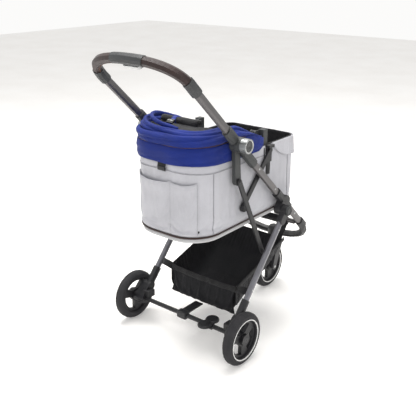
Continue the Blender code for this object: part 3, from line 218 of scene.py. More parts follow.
def metal(name, colour, roughness=0.34, metallic=0.75, coat=0.25):
    """Painted or coated metal: fine flake, orange peel and faint handling marks."""
    skin = Shader(name, roughness, metallic, Coat_Weight=coat, Coat_Roughness=0.22)
    flake = skin.noise(2600.0, 1.0)
    marks = skin.noise(55.0, 5.0, 0.7)
    tone = skin.math("ADD", skin.math("MULTIPLY", flake, 0.5), skin.math("MULTIPLY", marks, 0.5))
    skin.set(Base_Color=skin.ramp(tone, 0.35, 0.65, shade(colour, 0.86), shade(colour, 1.16)))
    skin.set(Roughness=skin.spread(marks, 0.35, 0.65, roughness - 0.05, roughness + 0.09))
    skin.bump((skin.noise(420.0, 1.0), 0.00006, 0.35), (marks, 0.0001, 0.15))
    return skin.material


def leather_material():
    """Dark brown leather: pebbled grain with fine creases and paler rubbed tops."""
    hide = Shader("stitched_brown_leather", 0.5, Specular_IOR_Level=0.4, Sheen_Weight=0.1)
    pebble = hide.cells(520.0)
    crease = hide.cells(190.0, "DISTANCE_TO_EDGE")
    clouds = hide.noise(30.0, 4.0)
    tone = hide.math("ADD", hide.math("MULTIPLY", clouds, 0.7), hide.math("MULTIPLY", pebble, 0.4))
    hide.set(Base_Color=hide.ramp(tone, 0.3, 0.75, (0.0095, 0.0050, 0.0050), (0.033, 0.0140, 0.0120)))
    hide.set(Roughness=hide.spread(clouds, 0.3, 0.7, 0.42, 0.58))
    hide.bump((crease, 0.0006, 0.25), (pebble, 0.0003, 0.5), (hide.noise(900.0), 0.0001, 0.4))
    return hide.material


def rubber_material():
    """Dark grey foam rubber, with fine pores and dusty patches."""
    tread = Shader("tyre_foam_rubber", 0.78, Specular_IOR_Level=0.3)
    dust = tread.noise(24.0, 4.0, 0.65)
    tread.set(Base_Color=tread.ramp(dust, 0.35, 0.7, (0.018, 0.018, 0.0205), (0.034, 0.033, 0.0355)))
    tread.set(Roughness=tread.spread(dust, 0.3, 0.7, 0.7, 0.9))
    tread.bump((tread.noise(700.0, 3.0), 0.0002, 0.5), (tread.cells(1400.0), 0.0001, 0.4))
    return tread.material


def mesh_material(name, colour, pitch):
    """Open net: a dark cloth whose holes show as darker dots."""
    net = Shader(name, 0.8, Sheen_Weight=0.15, Specular_IOR_Level=0.25)
    turn = 2 * math.pi / pitch
    across = net.math("SINE", net.math("MULTIPLY", net.along((1.0, 0.9, 0.2)), turn))
    down = net.math("SINE", net.math("MULTIPLY", net.along((0.2, -0.5, 1.0)), turn))
    holes = net.math("MULTIPLY", across, down)
    net.set(Base_Color=net.ramp(holes, 0.1, 0.6, colour, shade(colour, 0.35)))
    net.bump((net.noise(60.0, 4.0), 0.0012, 0.5), (holes, 0.0005, 0.7))
    return net.material


def disc_material():
    """The hub cap's dark face: a close grid of small pits."""
    face = Shader("hub_disc_texture", 0.45, 0.3)
    pits = face.cells(430.0)
    face.set(Base_Color=face.ramp(pits, 0.15, 0.6, (0.022, 0.023, 0.024), (0.075, 0.077, 0.078)))
    face.bump((pits, 0.0006, 0.8), (face.noise(1500.0), 0.00005, 0.4))
    return face.material


grey_cloth = fabric("light_grey_canvas", (0.49, 0.49, 0.525), 0.0011)
grey_lining = fabric("black_lining", (0.009, 0.009, 0.011), 0.0012, sheen=0.15, contrast=0.3)
# Painted shadow: the dark blue-grey of the shade just inside the rear pocket mouths.
pocket_shadow_cloth = fabric("painted_pocket_shadow", (0.055, 0.065, 0.10), 0.0011)
# Painted shade: the darker grey of the shadow line beside each raised seam fold.
seam_shadow_cloth = fabric("seam_groove", (0.20, 0.20, 0.225), 0.0009)
blue_cloth = fabric("blue_canvas", (0.0032, 0.0165, 0.165), 0.0009, roughness=0.62, crease=0.005, sheen=0.04,
                    contrast=0.3)
black_cloth = fabric("black_basket_cloth", (0.0075, 0.0075, 0.0095), 0.0010, 0.8, crease=0.002, sheen=0.12,
                     contrast=0.3)
webbing = fabric("black_webbing", (0.010, 0.010, 0.011), 0.0021, 0.7, depth=0.0005, sheen=0.15)
blue_webbing = fabric("blue_webbing", (0.007, 0.024, 0.23), 0.0021, 0.7, depth=0.0005)
piping_cloth = fabric("brown_piping", (0.035, 0.018, 0.016), 0.0012, 0.6)
pale_cloth = fabric("pale_base_cloth", (0.52, 0.52, 0.53), 0.0011)
zip_tape = fabric("orange_brown_zip", (0.075, 0.026, 0.012), 0.0016, 0.6, depth=0.0005)
thread_pale = fabric("pale_thread", (0.40, 0.40, 0.43), 0.0006)
thread_grey = fabric("grey_thread", (0.17, 0.17, 0.19), 0.0006)
thread_dark = fabric("dark_thread", (0.02, 0.02, 0.024), 0.0006)
thread_blue = fabric("blue_thread", (0.02, 0.04, 0.30), 0.0006)
thread_tan = fabric("tan_thread", (0.20, 0.075, 0.03), 0.0006)
black_mesh = mesh_material("black_net", (0.013, 0.013, 0.016), 0.0024)
grey_mesh = mesh_material("grey_net", (0.22, 0.24, 0.27), 0.0028)
gunmetal = metal("gunmetal_tube", (0.120, 0.114, 0.116), 0.36)
leg_metal = metal("leg_tube", (0.165, 0.165, 0.185), 0.34)
hub_metal = metal("hub_cap_metal", (0.26, 0.27, 0.27), 0.32, 0.85)
ring_metal = metal("bright_ring", (0.58, 0.59, 0.59), 0.25, 0.9)
axle_metal = metal("black_axle", (0.012, 0.012, 0.0135), 0.4, 0.5)
lever_metal = metal("lever_metal", (0.42, 0.43, 0.43), 0.3, 0.7)
hub_plastic = plastic("dark_grey_plastic", (0.031, 0.033, 0.034), 0.5)
black_plastic = plastic("black_plastic", (0.009, 0.009, 0.0105), 0.45, wear=2.2)
fork_plastic = plastic("fork_plastic", (0.024, 0.024, 0.026), 0.45)
white_plastic = plastic("white_ring", (0.72, 0.72, 0.71), 0.4, wear=1.05)
leather = leather_material()
rubber = rubber_material()
disc_face = disc_material()

CAD_LOOKS = {
    "gunmetal_tube": gunmetal, "leg_tube": leg_metal, "dark_grey_plastic": hub_plastic,
    "black_plastic": black_plastic, "hub_cap_metal": hub_metal, "axle_steel": axle_metal,
    "lever_metal": lever_metal, "fork_plastic": fork_plastic, "brown_leather": leather,
    "tyre_rubber": rubber, "light_grey_fabric": grey_cloth, "blue_fabric": blue_cloth,
    "black_fabric": black_cloth, "bag_base_fabric": pale_cloth,
}
for entry in frame["record"]["subparts"]:
    node = frame["nodes"][entry["node"]]
    node.data.materials.clear()
    node.data.materials.append(CAD_LOOKS[entry["material_slot"]])


# ---- Shapes ----

def wave(x, y, z=0.0):
    """Smooth noise from about -1 to 1, the same on each run."""
    return noise.noise(Vector((x, y, z)))


def linked(name, data, material=None):
    """A new object in the scene that shows the mesh or curve data."""
    if material:
        data.materials.append(material)
    piece = bpy.data.objects.new(name, data)
    scene.collection.objects.link(piece)
    return piece


def baked(bm, name):
    """The mesh that a bmesh holds. The bmesh is freed."""
    mesh = bpy.data.meshes.new(name)
    bm.to_mesh(mesh)
    bm.free()
    mesh.shade_smooth()
    return mesh


def mesh_piece(name, points, faces, material):
    mesh = bpy.data.meshes.new(name)
    mesh.from_pydata([tuple(point) for point in points], [], faces)
    mesh.shade_smooth()
    return linked(name, mesh, material)


def put(piece, body, slot, *nodes):
    """The piece rides on the body and stands for the CAD nodes. The slot is not used."""
    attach(piece, body)
    if nodes:
        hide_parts(*nodes)


def grid_faces(rows, columns, close_rows=False, close_columns=False):
    faces = []
    for row in range(rows if close_rows else rows - 1):
        for column in range(columns if close_columns else columns - 1):
            after, right = (row + 1) % rows, (column + 1) % columns
            faces.append((row * columns + column, row * columns + right, after * columns + right,
                          after * columns + column))
    return faces


def grid_piece(name, table, material, close_rows=False, close_columns=False):
    """A mesh through a table of points, as rows of columns."""
    rows, columns = len(table), len(table[0])
    points = [point for row in table for point in row]
    return mesh_piece(name, points, grid_faces(rows, columns, close_rows, close_columns), material)


def finish_mesh(piece):
    """Applies the piece's modifiers to its mesh."""
    graph = bpy.context.evaluated_depsgraph_get()
    made = bpy.data.meshes.new_from_object(piece.evaluated_get(graph))
    piece.modifiers.clear()
    piece.data = made
    made.shade_smooth()
    return piece


def thicken(piece, thickness, offset=0.0):
    """Gives cloth its thickness: offset 0 is half to each side, and 1 is all outward."""
    solid = piece.modifiers.new("Thickness", "SOLIDIFY")
    solid.thickness = thickness
    solid.offset = offset
    solid.use_rim = True
    return finish_mesh(piece)


def subdivide(piece):
    smooth = piece.modifiers.new("Smooth", "SUBSURF")
    smooth.levels = smooth.render_levels = 1
    return finish_mesh(piece)


def outward(piece):
    """Makes a closed mesh's faces look outward."""
    bm = bmesh.new()
    bm.from_mesh(piece.data)
    bmesh.ops.recalc_face_normals(bm, faces=bm.faces)
    bm.to_mesh(piece.data)
    bm.free()
    return piece


def corners(piece):
    return np.array([vertex.co for vertex in piece.data.vertices], float)


def set_corners(piece, points):
    piece.data.vertices.foreach_set("co", np.asarray(points, np.float32).ravel())
    piece.data.update()


CLOTH_STIFFNESS = 15.0


def simulate(piece, cap, pins=None, pressure=0.0, growth=0.0, gravity=0.0, frames=20):
    """Blender's cloth on a piece, applied to its mesh. pins are weights from 0 to 1, one for each point.
    growth is how much larger the cloth is cut than its mesh. No point moves further than cap."""
    start = corners(piece)
    cloth = piece.modifiers.new("Cloth", "CLOTH")
    settings = cloth.settings
    settings.quality = 6
    settings.mass = 0.3
    settings.tension_stiffness = settings.compression_stiffness = CLOTH_STIFFNESS
    settings.shear_stiffness = CLOTH_STIFFNESS / 3
    settings.bending_stiffness = 0.6
    settings.shrink_min = -growth
    settings.effector_weights.gravity = gravity
    cloth.collision_settings.use_collision = False
    if pressure:
        settings.use_pressure = True
        settings.uniform_pressure_force = pressure
    if pins is not None:
        group = piece.vertex_groups.new(name="held")
        for index, weight in enumerate(pins):
            if weight > 0:
                group.add([index], float(weight), "REPLACE")
        settings.vertex_group_mass = "held"
    cloth.point_cache.frame_start = 1
    cloth.point_cache.frame_end = frames
    for number in range(1, frames + 1):
        scene.frame_set(number)
    graph = bpy.context.evaluated_depsgraph_get()
    moved = np.array([vertex.co for vertex in piece.evaluated_get(graph).data.vertices], float)
    piece.modifiers.clear()
    piece.vertex_groups.clear()
    scene.frame_set(1)
    shift = moved - start
    far = np.linalg.norm(shift, axis=1)
    far[far < 1e-9] = 1e-9
    shift *= (cap * np.tanh(far / cap) / far)[:, None]
    set_corners(piece, start + shift)
    return piece


def puff(piece, voxel, pressure, cap):
    """Swells a closed piece as stuffed fabric swells, then smooths it."""
    change = piece.modifiers.new("Remesh", "REMESH")
    change.mode = "VOXEL"
    change.voxel_size = voxel
    finish_mesh(piece)
    simulate(piece, cap, pressure=pressure)
    return subdivide(piece)


def tube(name, points, radius, material, closed=False):
    """A round bead, cord or rod along points."""
    curve = bpy.data.curves.new(name, "CURVE")
    curve.dimensions = "3D"
    curve.bevel_depth = radius
    curve.bevel_resolution = 3
    curve.use_fill_caps = True
    curve.resolution_u = 3
    spline = curve.splines.new("NURBS")
    spline.points.add(len(points) - 1)
    for target, place in zip(spline.points, points):
        target.co = (*place, 1.0)
    spline.use_cyclic_u = closed
    spline.order_u = 3
    spline.use_endpoint_u = True
    piece = linked(name, curve, material)
    mesh = bpy.data.meshes.new_from_object(piece.evaluated_get(bpy.context.evaluated_depsgraph_get()))
    bpy.data.objects.remove(piece)
    mesh.shade_smooth()
    return linked(name, mesh)


def strip(name, points, normals, width, thickness, material):
    """Flat webbing along points. normals are its face's directions."""
    table = []
    points = [Vector(point) for point in points]
    for index, point in enumerate(points):
        before, after = points[max(0, index - 1)], points[min(len(points) - 1, index + 1)]
        normal = Vector(normals[index]).normalized()
        side = (after - before).normalized().cross(normal).normalized()
        ring = []
        for across, up in ((-1, -0.7), (-0.94, -1), (0.94, -1), (1, -0.7), (1, 0.7), (0.94, 1), (-0.94, 1),
                           (-1, 0.7)):
            ring.append(point + side * across * width / 2 + normal * up * thickness / 2)
        table.append(ring)
    piece = grid_piece(name, table, material, close_columns=True)
    return cap_ends(piece, len(table), 8)


def cap_ends(piece, rows, columns):
    """Closes the two open ends of a tube made by grid_piece."""
    bm = bmesh.new()
    bm.from_mesh(piece.data)
    bm.verts.ensure_lookup_table()
    bm.faces.new([bm.verts[index] for index in range(columns)][::-1])
    bm.faces.new([bm.verts[(rows - 1) * columns + index] for index in range(columns)])
    bmesh.ops.recalc_face_normals(bm, faces=bm.faces)
    bm.to_mesh(piece.data)
    bm.free()
    piece.data.shade_smooth()
    return piece


def stitches(name, points, normals, material, length=0.0026, gap=0.0016, radius=0.00035):
    """A row of separate stitches along points."""
    points = [Vector(point) for point in points]
    normals = [Vector(normal).normalized() for normal in normals]
    verts, faces = [], []
    travel, next_start = 0.0, 0.0
    for index in range(len(points) - 1):
        first, last = points[index], points[index + 1]
        span = (last - first).length
        if span < 1e-9:
            continue
        along = (last - first) / span
        side = along.cross(normals[index]).normalized()
        while next_start < travel + span:
            centre = first + along * (next_start - travel) + normals[index] * radius * 0.4
            base = len(verts)
            for step, wide in ((-0.5, 0.35), (-0.3, 1.0), (0.3, 1.0), (0.5, 0.35)):
                for across, up in ((1, 0), (0, 1), (-1, 0), (0, -1)):
                    verts.append(centre + along * step * length
                                 + (side * across + normals[index] * up) * radius * wide)
            for ring in range(3):
                for corner in range(4):
                    faces.append((base + ring * 4 + corner, base + ring * 4 + (corner + 1) % 4,
                                  base + ring * 4 + 4 + (corner + 1) % 4, base + ring * 4 + 4 + corner))
            faces.append((base + 3, base + 2, base + 1, base))
            faces.append((base + 12, base + 13, base + 14, base + 15))
            next_start += length + gap
        travel += span
    return mesh_piece(name, verts, faces, material)


def rounded_box(name, size, centre, material, bevel=0.001, tilt=0.0):
    """A box with rounded edges, tilted about X by an angle in radians."""
    bm = bmesh.new()
    bmesh.ops.create_cube(bm, size=1.0)
    bmesh.ops.scale(bm, vec=size, verts=bm.verts)
    bmesh.ops.bevel(bm, geom=bm.edges, offset=bevel, segments=3, profile=0.6, affect="EDGES")
    mesh = baked(bm, name)
    mesh.transform(Matrix.LocRotScale(Vector(centre), Matrix.Rotation(tilt, 3, "X"), None))
    mesh.set_sharp_from_angle(angle=math.radians(40))
    return linked(name, mesh, material)


def spun_x(name, profile, centre, material, steps=48, side=1):
    """A closed profile of (radius, outward distance) points turned about an axis along X."""
    table = []
    for step in range(steps):
        angle = 2 * math.pi * step / steps
        table.append([
            (centre[0] + side * out, centre[1] + radius * math.cos(angle),
             centre[2] + radius * math.sin(angle))
            for radius, out in profile
        ])
    piece = grid_piece(name, table, material, close_rows=True, close_columns=True)
    return outward(piece)


def dome(name, centre, normal, radius, height, material):
    """A low round head, such as a rivet's."""
    bm = bmesh.new()
    bmesh.ops.create_uvsphere(bm, u_segments=20, v_segments=12, radius=radius)
    bmesh.ops.scale(bm, vec=(1.0, 1.0, height / radius), verts=bm.verts)
    mesh = baked(bm, name)
    turn = Vector(normal).to_track_quat("Z", "Y").to_matrix().to_4x4()
    mesh.transform(Matrix.Translation(Vector(centre)) @ turn)
    return linked(name, mesh, material)


def round_bag(t, grow=0.0):
    """The point (x, y) and the outward direction at signed length t round the bag from its rear middle."""
    side = 1.0 if t >= 0 else -1.0
    a = abs(t)
    if a <= REAR_HALF:
        x, y, nx, ny = a, BAG_HIGH.y, 0.0, 1.0
    elif a <= CORNER_END:
        turn = (a - REAR_HALF) / REAR_CORNER
        nx, ny = math.sin(turn), math.cos(turn)
        x, y = REAR_HALF + REAR_CORNER * nx, BAG_HIGH.y - REAR_CORNER + REAR_CORNER * ny
    elif a <= SIDE_END:
        x, y, nx, ny = HALF_WIDTH, BAG_HIGH.y - REAR_CORNER - (a - CORNER_END), 1.0, 0.0
    elif a <= FRONT_END:
        turn = (a - SIDE_END) / FRONT_CORNER
        nx, ny = math.cos(turn), -math.sin(turn)
        x = HALF_WIDTH - FRONT_CORNER + FRONT_CORNER * nx
        y = BAG_LOW.y + FRONT_CORNER + FRONT_CORNER * ny
    else:
        x, y, nx, ny = HALF_WIDTH - FRONT_CORNER - (a - FRONT_END), BAG_LOW.y, 0.0, -1.0
    return side * (x + nx * grow), y + ny * grow, side * nx, ny


def at(t, z, grow=0.0):
    x, y, _, _ = round_bag(t, grow)
    return Vector((x, y, z))


def facing(t):
    _, _, nx, ny = round_bag(t)
    return Vector((nx, ny, 0.0))


def t_behind(distance):
    """The length round the bag at which a side wall is at a distance behind the rear axle."""
    return CORNER_END + (BAG_HIGH.y - REAR_CORNER) - AXLE_Y - distance


def spaced(first, last, count):
    return [first + (last - first) * step / (count - 1) for step in range(count)]


def smooth_step(value):
    value = max(0.0, min(1.0, value))
    return value * value * (3 - 2 * value)


def between(value, stops):
    """Straight-line interpolation through (place, value) stops, in rising order of place."""
    if value <= stops[0][0]:
        return stops[0][1]
    for (a, low), (b, high) in zip(stops, stops[1:]):
        if value <= b:
            return low + (high - low) * (value - a) / (b - a)
    return stops[-1][1]


# ---- Carrier bag ----

WALL_THICKNESS = 0.0022
LINING_GAP = 0.0048  # from the wall's skin in to the lining's
LINING_THICKNESS = 0.0016
YOKE_REAR, YOKE_CORNER, YOKE_FRONT = 0.6480, 0.6400, 0.6385  # the yoke seam's heights
REAR_SEAM = 0.181  # each side seam's length round from the rear middle
SEAM_CORD = 0.0012
POCKET_TOP = 0.6135
CUFF_LOW = 0.6115

def cut_size(table, closed=False):
    """The width, length and area in metres of the cloth that a table of points is cut from."""
    spots = np.array([[tuple(point) for point in line] for line in table])
    if closed:
        spots = np.concatenate([spots, spots[:, :1]], axis=1)
    across, along = np.diff(spots, axis=1), np.diff(spots, axis=0)
    width = float(np.linalg.norm(across, axis=2).sum(axis=1).max())
    length = float(np.linalg.norm(along, axis=2).sum(axis=0).max())
    area = float(np.linalg.norm(np.cross(across[:-1], along[:, :-1]), axis=2).sum())
    return (round(width, 3), round(length, 3)), round(min(area, width * length), 4)


def cloth(piece, table, held, rests_on, closed=False):
    """Works out the flat size and area of the cloth that a table of points is cut from, and keeps neither."""
    flat, area = cut_size(table, closed)
    min(area, flat[0] * flat[1])
    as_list(rests_on)


def wall_bulge(t, level):
    """How far the bag's wall stands out at length t and at level 0 (bottom) to 1 (rim)."""
    belly = math.sin(math.pi * min(1.0, level)) ** 0.8
    side = smooth_step((abs(t) - CORNER_END + 0.02) / 0.10) * smooth_step((SIDE_END - abs(t)) / 0.08)
    swell = belly * (0.0012 + 0.0038 * side)
    fold = 0.0019 * wave(t * 12.0 + level * 1.5, level * 2.0, 3.0)
    fold += 0.0011 * wave(t * 30.0 + level * 9.0, level * 4.0, 7.0)
    return swell + fold * belly


def add_bag_walls():
    columns, rows = 300, 46
    lengths = [-HALF_ROUND + 2 * HALF_ROUND * step / columns for step in range(columns)]
    table, pins = [], []
    for row in range(rows):
        level = row / (rows - 1)
        z = WALL_BOTTOM + (RIM - WALL_BOTTOM) * level
        table.append([at(t, z, wall_bulge(t, level)) for t in lengths])
        edge = max(0.0, 1 - min(level, 1 - level) / 0.05)
        pins += [edge] * columns
    walls = grid_piece("bag_walls", table, grey_cloth, close_columns=True)
    simulate(walls, 0.0042, pins, pressure=0.25, growth=0.016, gravity=0.25)
    skin = corners(walls)

    inner = skin.reshape(rows, columns, 3).copy()
    for column, t in enumerate(lengths):
        inner[:, column] -= np.array(facing(t)) * LINING_GAP
    lift = np.array([0.0015 + 0.0035 * max(0.0, wave(t * 16.0, 2.0)) for t in lengths])
    inner[-1, :, 2] += lift
    inner[-2, :, 2] += lift * 0.5
    lining = grid_piece("bag_lining", inner.tolist(), grey_lining, close_columns=True)
    outward(thicken(lining, LINING_THICKNESS))
    put(lining, "bag", "black_fabric")
    cloth(lining, inner.tolist(), "stretched", ["bag_stay_left", "bag_stay_right"], closed=True)

    outward(thicken(walls, WALL_THICKNESS, 1.0))
    put(walls, "bag", "light_grey_fabric", "bag_shell")
    cloth(walls, table, "stretched", ["bag_stay_left", "bag_stay_right"], closed=True)

    rim_path = [Vector(inner[-1, column]) + facing(t) * 0.0012 for column, t in enumerate(lengths)][::3]
    binding = tube("bag_rim_binding", rim_path, 0.0022, webbing, closed=True)
    put(binding, "bag", "black_fabric")
    return skin.reshape(rows, columns, 3)


wall_skin = add_bag_walls()


def on_wall(t, z, lift=0.0):
    """A point on the finished wall, at length t and height z, moved out by lift."""
    rows, columns = wall_skin.shape[:2]
    column = (t + HALF_ROUND) / (2 * HALF_ROUND) * columns
    row = max(0.0, min(rows - 1.001, (z - WALL_BOTTOM) / (RIM - WALL_BOTTOM) * (rows - 1)))
    low, part = int(math.floor(column)), column - math.floor(column)
    base, up = int(row), row - int(row)
    point = np.zeros(3)
    for c, wc in ((low % columns, 1 - part), ((low + 1) % columns, part)):
        for r, wr in ((base, 1 - up), (base + 1, up)):
            point += wall_skin[r, c] * wc * wr
    place = Vector(point) + facing(t) * lift
    place.z = z
    return place


def seam(name, path, material=thread_pale, lift=0.0006, cord=0.0):
    """A sewn seam on the bag's wall through (t, z) stops: stitches, and a raised fold with a painted shadow
    line beside it if cord is given.
    """
    stops = []
    for (t0, z0), (t1, z1) in zip(path, path[1:]):
        count = max(2, int(max(abs(t1 - t0), abs(z1 - z0)) / 0.004))
        stops += [(t0 + (t1 - t0) * step / count, z0 + (z1 - z0) * step / count) for step in range(count)]
    stops.append(path[-1])
    if cord:
        fold = tube(name + "_fold", [on_wall(t, z, 0.0003) for t, z in stops], cord, grey_cloth)
        put(fold, "bag", "light_grey_fabric")
        side = 1.9 * cord
        upright = abs(path[0][0] - path[-1][0]) < 0.01
        # Painted shade: a thin darker grey cord beside the fold stands for the shadow in the seam's groove.
        groove = [on_wall(t + (side if upright else 0.0), z - (0.0 if upright else side), 0.0002)
                  for t, z in stops]
        shadow = tube(name + "_groove", groove, cord * 0.55, seam_shadow_cloth)
        put(shadow, "bag", "light_grey_fabric")
        lift += cord
    row = stitches(name, [on_wall(t, z, lift) for t, z in stops], [facing(t) for t, _ in stops], material)
    put(row, "bag", "light_grey_fabric")


PATCH_ROWS, PATCH_COLUMNS = 30, 90


def wall_patch(name, first, last, bottom, top, material, lift, pins):
    """A sewn-on panel over the wall, up to a height top(t).
    lift(share across, share up) is how far it stands off, and pins(...) how firmly it is held."""
    table, weights = [], []
    for up in spaced(0.0, 1.0, PATCH_ROWS):
        line = []
        for across in spaced(0.0, 1.0, PATCH_COLUMNS):
            t = first + (last - first) * across
            line.append(on_wall(t, bottom + (top(t) - bottom) * up, lift(across, up)))
            weights.append(pins(across, up))
        table.append(line)
    patch = grid_piece(name, table, material)
    simulate(patch, 0.003, weights, growth=0.014, gravity=0.4, pressure=0.4)
    kept = corners(patch).reshape(PATCH_ROWS, PATCH_COLUMNS, 3)
    outward(thicken(patch, 0.0016))
    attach(patch, "bag")
    cloth(patch, table, "stretched", ["bag_walls"])
    return patch, kept


def add_rear_pockets():
    """The two open pockets sewn side by side across the rear wall."""
    reach, middle, top = 0.127, -0.040, POCKET_TOP
    held = (-reach, middle, reach)

    def gape(across):
        t = -reach + 2 * reach * across
        left, right = (held[0], held[1]) if t < middle else (held[1], held[2])
        return math.sin(math.pi * (t - left) / (right - left)) ** 0.7

    def lift(across, up):
        mouth_lift = 0.0092 * gape(across) * smooth_step((up - 0.60) / 0.40) ** 1.3
        return 0.0022 + mouth_lift + 0.0014 * math.sin(math.pi * up) * gape(across)

    def pins(across, up):
        t = -reach + 2 * reach * across
        return float(min(across, 1 - across, up) < 0.02 or abs(t - middle) < 0.003)

    def mouth(t):
        return top - 0.0055 * gape((t + reach) / (2 * reach))

    patch, kept = wall_patch("rear_pocket_panel", -reach, reach, WALL_BOTTOM + 0.004, mouth, grey_cloth, lift,
                             pins)
    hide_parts("rear_pocket")
    # Painted shadow: a dark blue-grey strip just inside each pocket mouth stands for the shade in the gap.
    inside = []
    for drop in (0.0, 0.006, 0.012):
        row_points = []
        for column in range(PATCH_COLUMNS):
            share = column / (PATCH_COLUMNS - 1)
            t = -reach + 2 * reach * column / (PATCH_COLUMNS - 1)
            low = mouth(t) - drop - 0.0012
            row_points.append(on_wall(t, low, 0.0012 + (lift(share, 1.0) - 0.0034) * (drop == 0.0)))
        inside.append(row_points)
    mouth_shadow_strip = grid_piece("rear_pocket_mouth_shadow", inside, pocket_shadow_cloth)
    thicken(mouth_shadow_strip, 0.0008)
    put(mouth_shadow_strip, "bag", "light_grey_fabric")
    edge = [Vector(point) for point in kept[-1]]
    hem = tube("rear_pocket_hem", edge, 0.0016, grey_cloth)
    put(hem, "bag", "light_grey_fabric")
    lengths = [-reach + 2 * reach * column / (PATCH_COLUMNS - 1) for column in range(PATCH_COLUMNS)]
    below = [Vector(kept[-3][column]) + facing(t) * 0.0010 for column, t in enumerate(lengths)]
    row = stitches("rear_pocket_hem_stitches", below, [facing(0.0)] * PATCH_COLUMNS, thread_pale)
    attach(row, "bag")
    for label, t in (("left", reach - 0.002), ("right", -reach + 0.002), ("middle", middle)):
        seam(f"rear_pocket_seam_{label}", [(t, WALL_BOTTOM + 0.005), (t, top)], thread_dark, lift=0.0042)


add_rear_pockets()
for name, side in SIDES:
    front_seam = side * (SIDE_END - 0.012)
    for label, path in (
        ("side", [(side * REAR_SEAM, WALL_BOTTOM + 0.002), (side * REAR_SEAM, YOKE_CORNER)]),
        ("yoke", [(side * 0.004, YOKE_REAR), (side * REAR_SEAM, YOKE_CORNER),
                  (side * t_behind(-0.278), YOKE_FRONT)]),
        ("front", [(front_seam, WALL_BOTTOM + 0.002), (front_seam, 0.61)]),
    ):
        seam(f"{label}_seam_{name}", path, thread_grey, cord=SEAM_CORD)


def add_base():
    """The pale base panel with rounded edges, and the brown piping sewn round it."""
    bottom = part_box("bag_base")[0].z
    profile = [(-0.030, 0.0), (-0.010, 0.0), (-0.0045, 0.0005), (-0.0015, 0.0025), (-0.0006, 0.007),
               (-0.001, 0.0130), (-0.004, 0.0160), (-0.0115, 0.0170)]
    lengths = [-HALF_ROUND + 2 * HALF_ROUND * step / 200 for step in range(200)]
    table = [[at(t, bottom + up, grow + 0.0004 * wave(t * 20.0, up * 100.0)) for t in lengths]
             for grow, up in profile]
    board = grid_piece("bag_base_panel", table, pale_cloth, close_columns=True)
    bm = bmesh.new()
    bm.from_mesh(board.data)
    bmesh.ops.holes_fill(bm, edges=[edge for edge in bm.edges if edge.is_boundary], sides=0)
    bmesh.ops.recalc_face_normals(bm, faces=bm.faces)
    bm.to_mesh(board.data)
    bm.free()
    board.data.shade_smooth()
    put(board, "bag", "bag_base_fabric", "bag_base")
    path = [at(t, bottom + 0.0190 + 0.0004 * wave(t * 9.0, 4.0), 0.0012) for t in lengths]
    piping = tube("bag_piping", path, 0.0031, piping_cloth, closed=True)
    put(piping, "bag", "bag_base_fabric")
    edge = [at(t, bottom + 0.0085, -0.0001) for t in lengths]
    row = stitches("base_stitches", edge, [facing(t) for t in lengths], thread_pale)
    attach(row, "bag")


add_base()


def add_floor_pad():
    """The padded floor of the bag, sewn in three channels."""
    low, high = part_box("bag_cushion")
    bm = bmesh.new()
    bmesh.ops.create_grid(bm, x_segments=36, y_segments=60, size=0.5)
    pad = linked("bag_floor_pad", baked(bm, "bag_floor_pad"), grey_lining)
    points = corners(pad)
    centre, span = (low + high) / 2, high - low
    for point in points:
        x, y = point[0] * 2, point[1] * 2
        squeeze = 1 - 0.06 * (abs(x) ** 6) * (abs(y) ** 6)
        point[0] = centre.x + x * squeeze * (span.x / 2 - 0.004)
        point[1] = centre.y + y * squeeze * (span.y / 2 - 0.004)
        point[2] = (low.z + high.z) / 2
    set_corners(pad, points)
    thicken(pad, 0.010)
    outward(pad)
    puff(pad, 0.006, 3.0, 0.004)
    points = corners(pad)
    for point in points:
        groove = min(abs(point[1] - (centre.y + shift)) for shift in (-0.09, 0.09))
        depth = 0.0035 * math.exp(-(groove / 0.006) ** 2)
        point[2] += -depth if point[2] > centre.z else depth * 0.3
        point[2] = min(high.z, max(low.z, point[2]))
    set_corners(pad, points)
    put(pad, "bag", "black_fabric")
    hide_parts("bag_cushion")


add_floor_pad()


def cuff_bottom(t):
    """The height of the folded cuff's lower edge at length t."""
    if abs(t) > SIDE_END:
        return CUFF_LOW
    behind = at(t, 0.0).y - AXLE_Y
    return between(behind, [(-0.413, CUFF_LOW), (-0.363, 0.6165), (-0.328, 0.630), (-0.290, 0.6575)])


def add_cuff():
    """The bag's front edge, folded outward over the rim."""
    start = t_behind(-0.288)
    columns, rows = 150, 18
    table, weights = [], []
    for up in spaced(0.0, 1.0, rows):
        line = []
        for across in spaced(0.0, 1.0, columns):
            t = start + (2 * (HALF_ROUND - start)) * across
            t = t if t <= HALF_ROUND else t - 2 * HALF_ROUND
            low, high = cuff_bottom(t), RIM + 0.0035
            place = on_wall(t, min(RIM, low + (high - low) * up))
            place.z = low + (high - low) * up
            flare = (1 - up) ** 0.8
            off = 0.0032 + 0.0078 * flare + 0.0016 * math.sin(math.pi * up)
            off = off + 0.0022 * flare * wave(t * 26, 1.5)
            line.append(place + facing(t) * off * smooth_step(min(across, 1 - across) / 0.02 + 0.3))
            weights.append(1.0 if up > 0.93 or min(across, 1 - across) < 0.01 else 0.0)
        table.append(line)
    cuff = grid_piece("front_cuff_fold", table, grey_cloth)
    simulate(cuff, 0.0035, weights, growth=0.022, gravity=0.5, frames=18)
    kept = corners(cuff).reshape(rows, columns, 3)
    outward(thicken(cuff, 0.0030))
    subdivide(cuff)
    put(cuff, "bag", "light_grey_fabric", "front_cuff")
    cloth(cuff, table, "folded", ["bag_walls"])
    hem = tube("front_cuff_hem", [Vector(point) for point in kept[0][::2]], 0.0021, grey_cloth)
    put(hem, "bag", "light_grey_fabric")
    path, normals = [], []
    for column in range(0, columns):
        across = column / (columns - 1)
        t = start + (2 * (HALF_ROUND - start)) * across
        t = t if t <= HALF_ROUND else t - 2 * HALF_ROUND
        path.append(Vector(kept[2][column]) + facing(t) * 0.0019)
        normals.append(facing(t))
    row = stitches("front_cuff_stitches", path, normals, thread_pale)
    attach(row, "bag")


add_cuff()


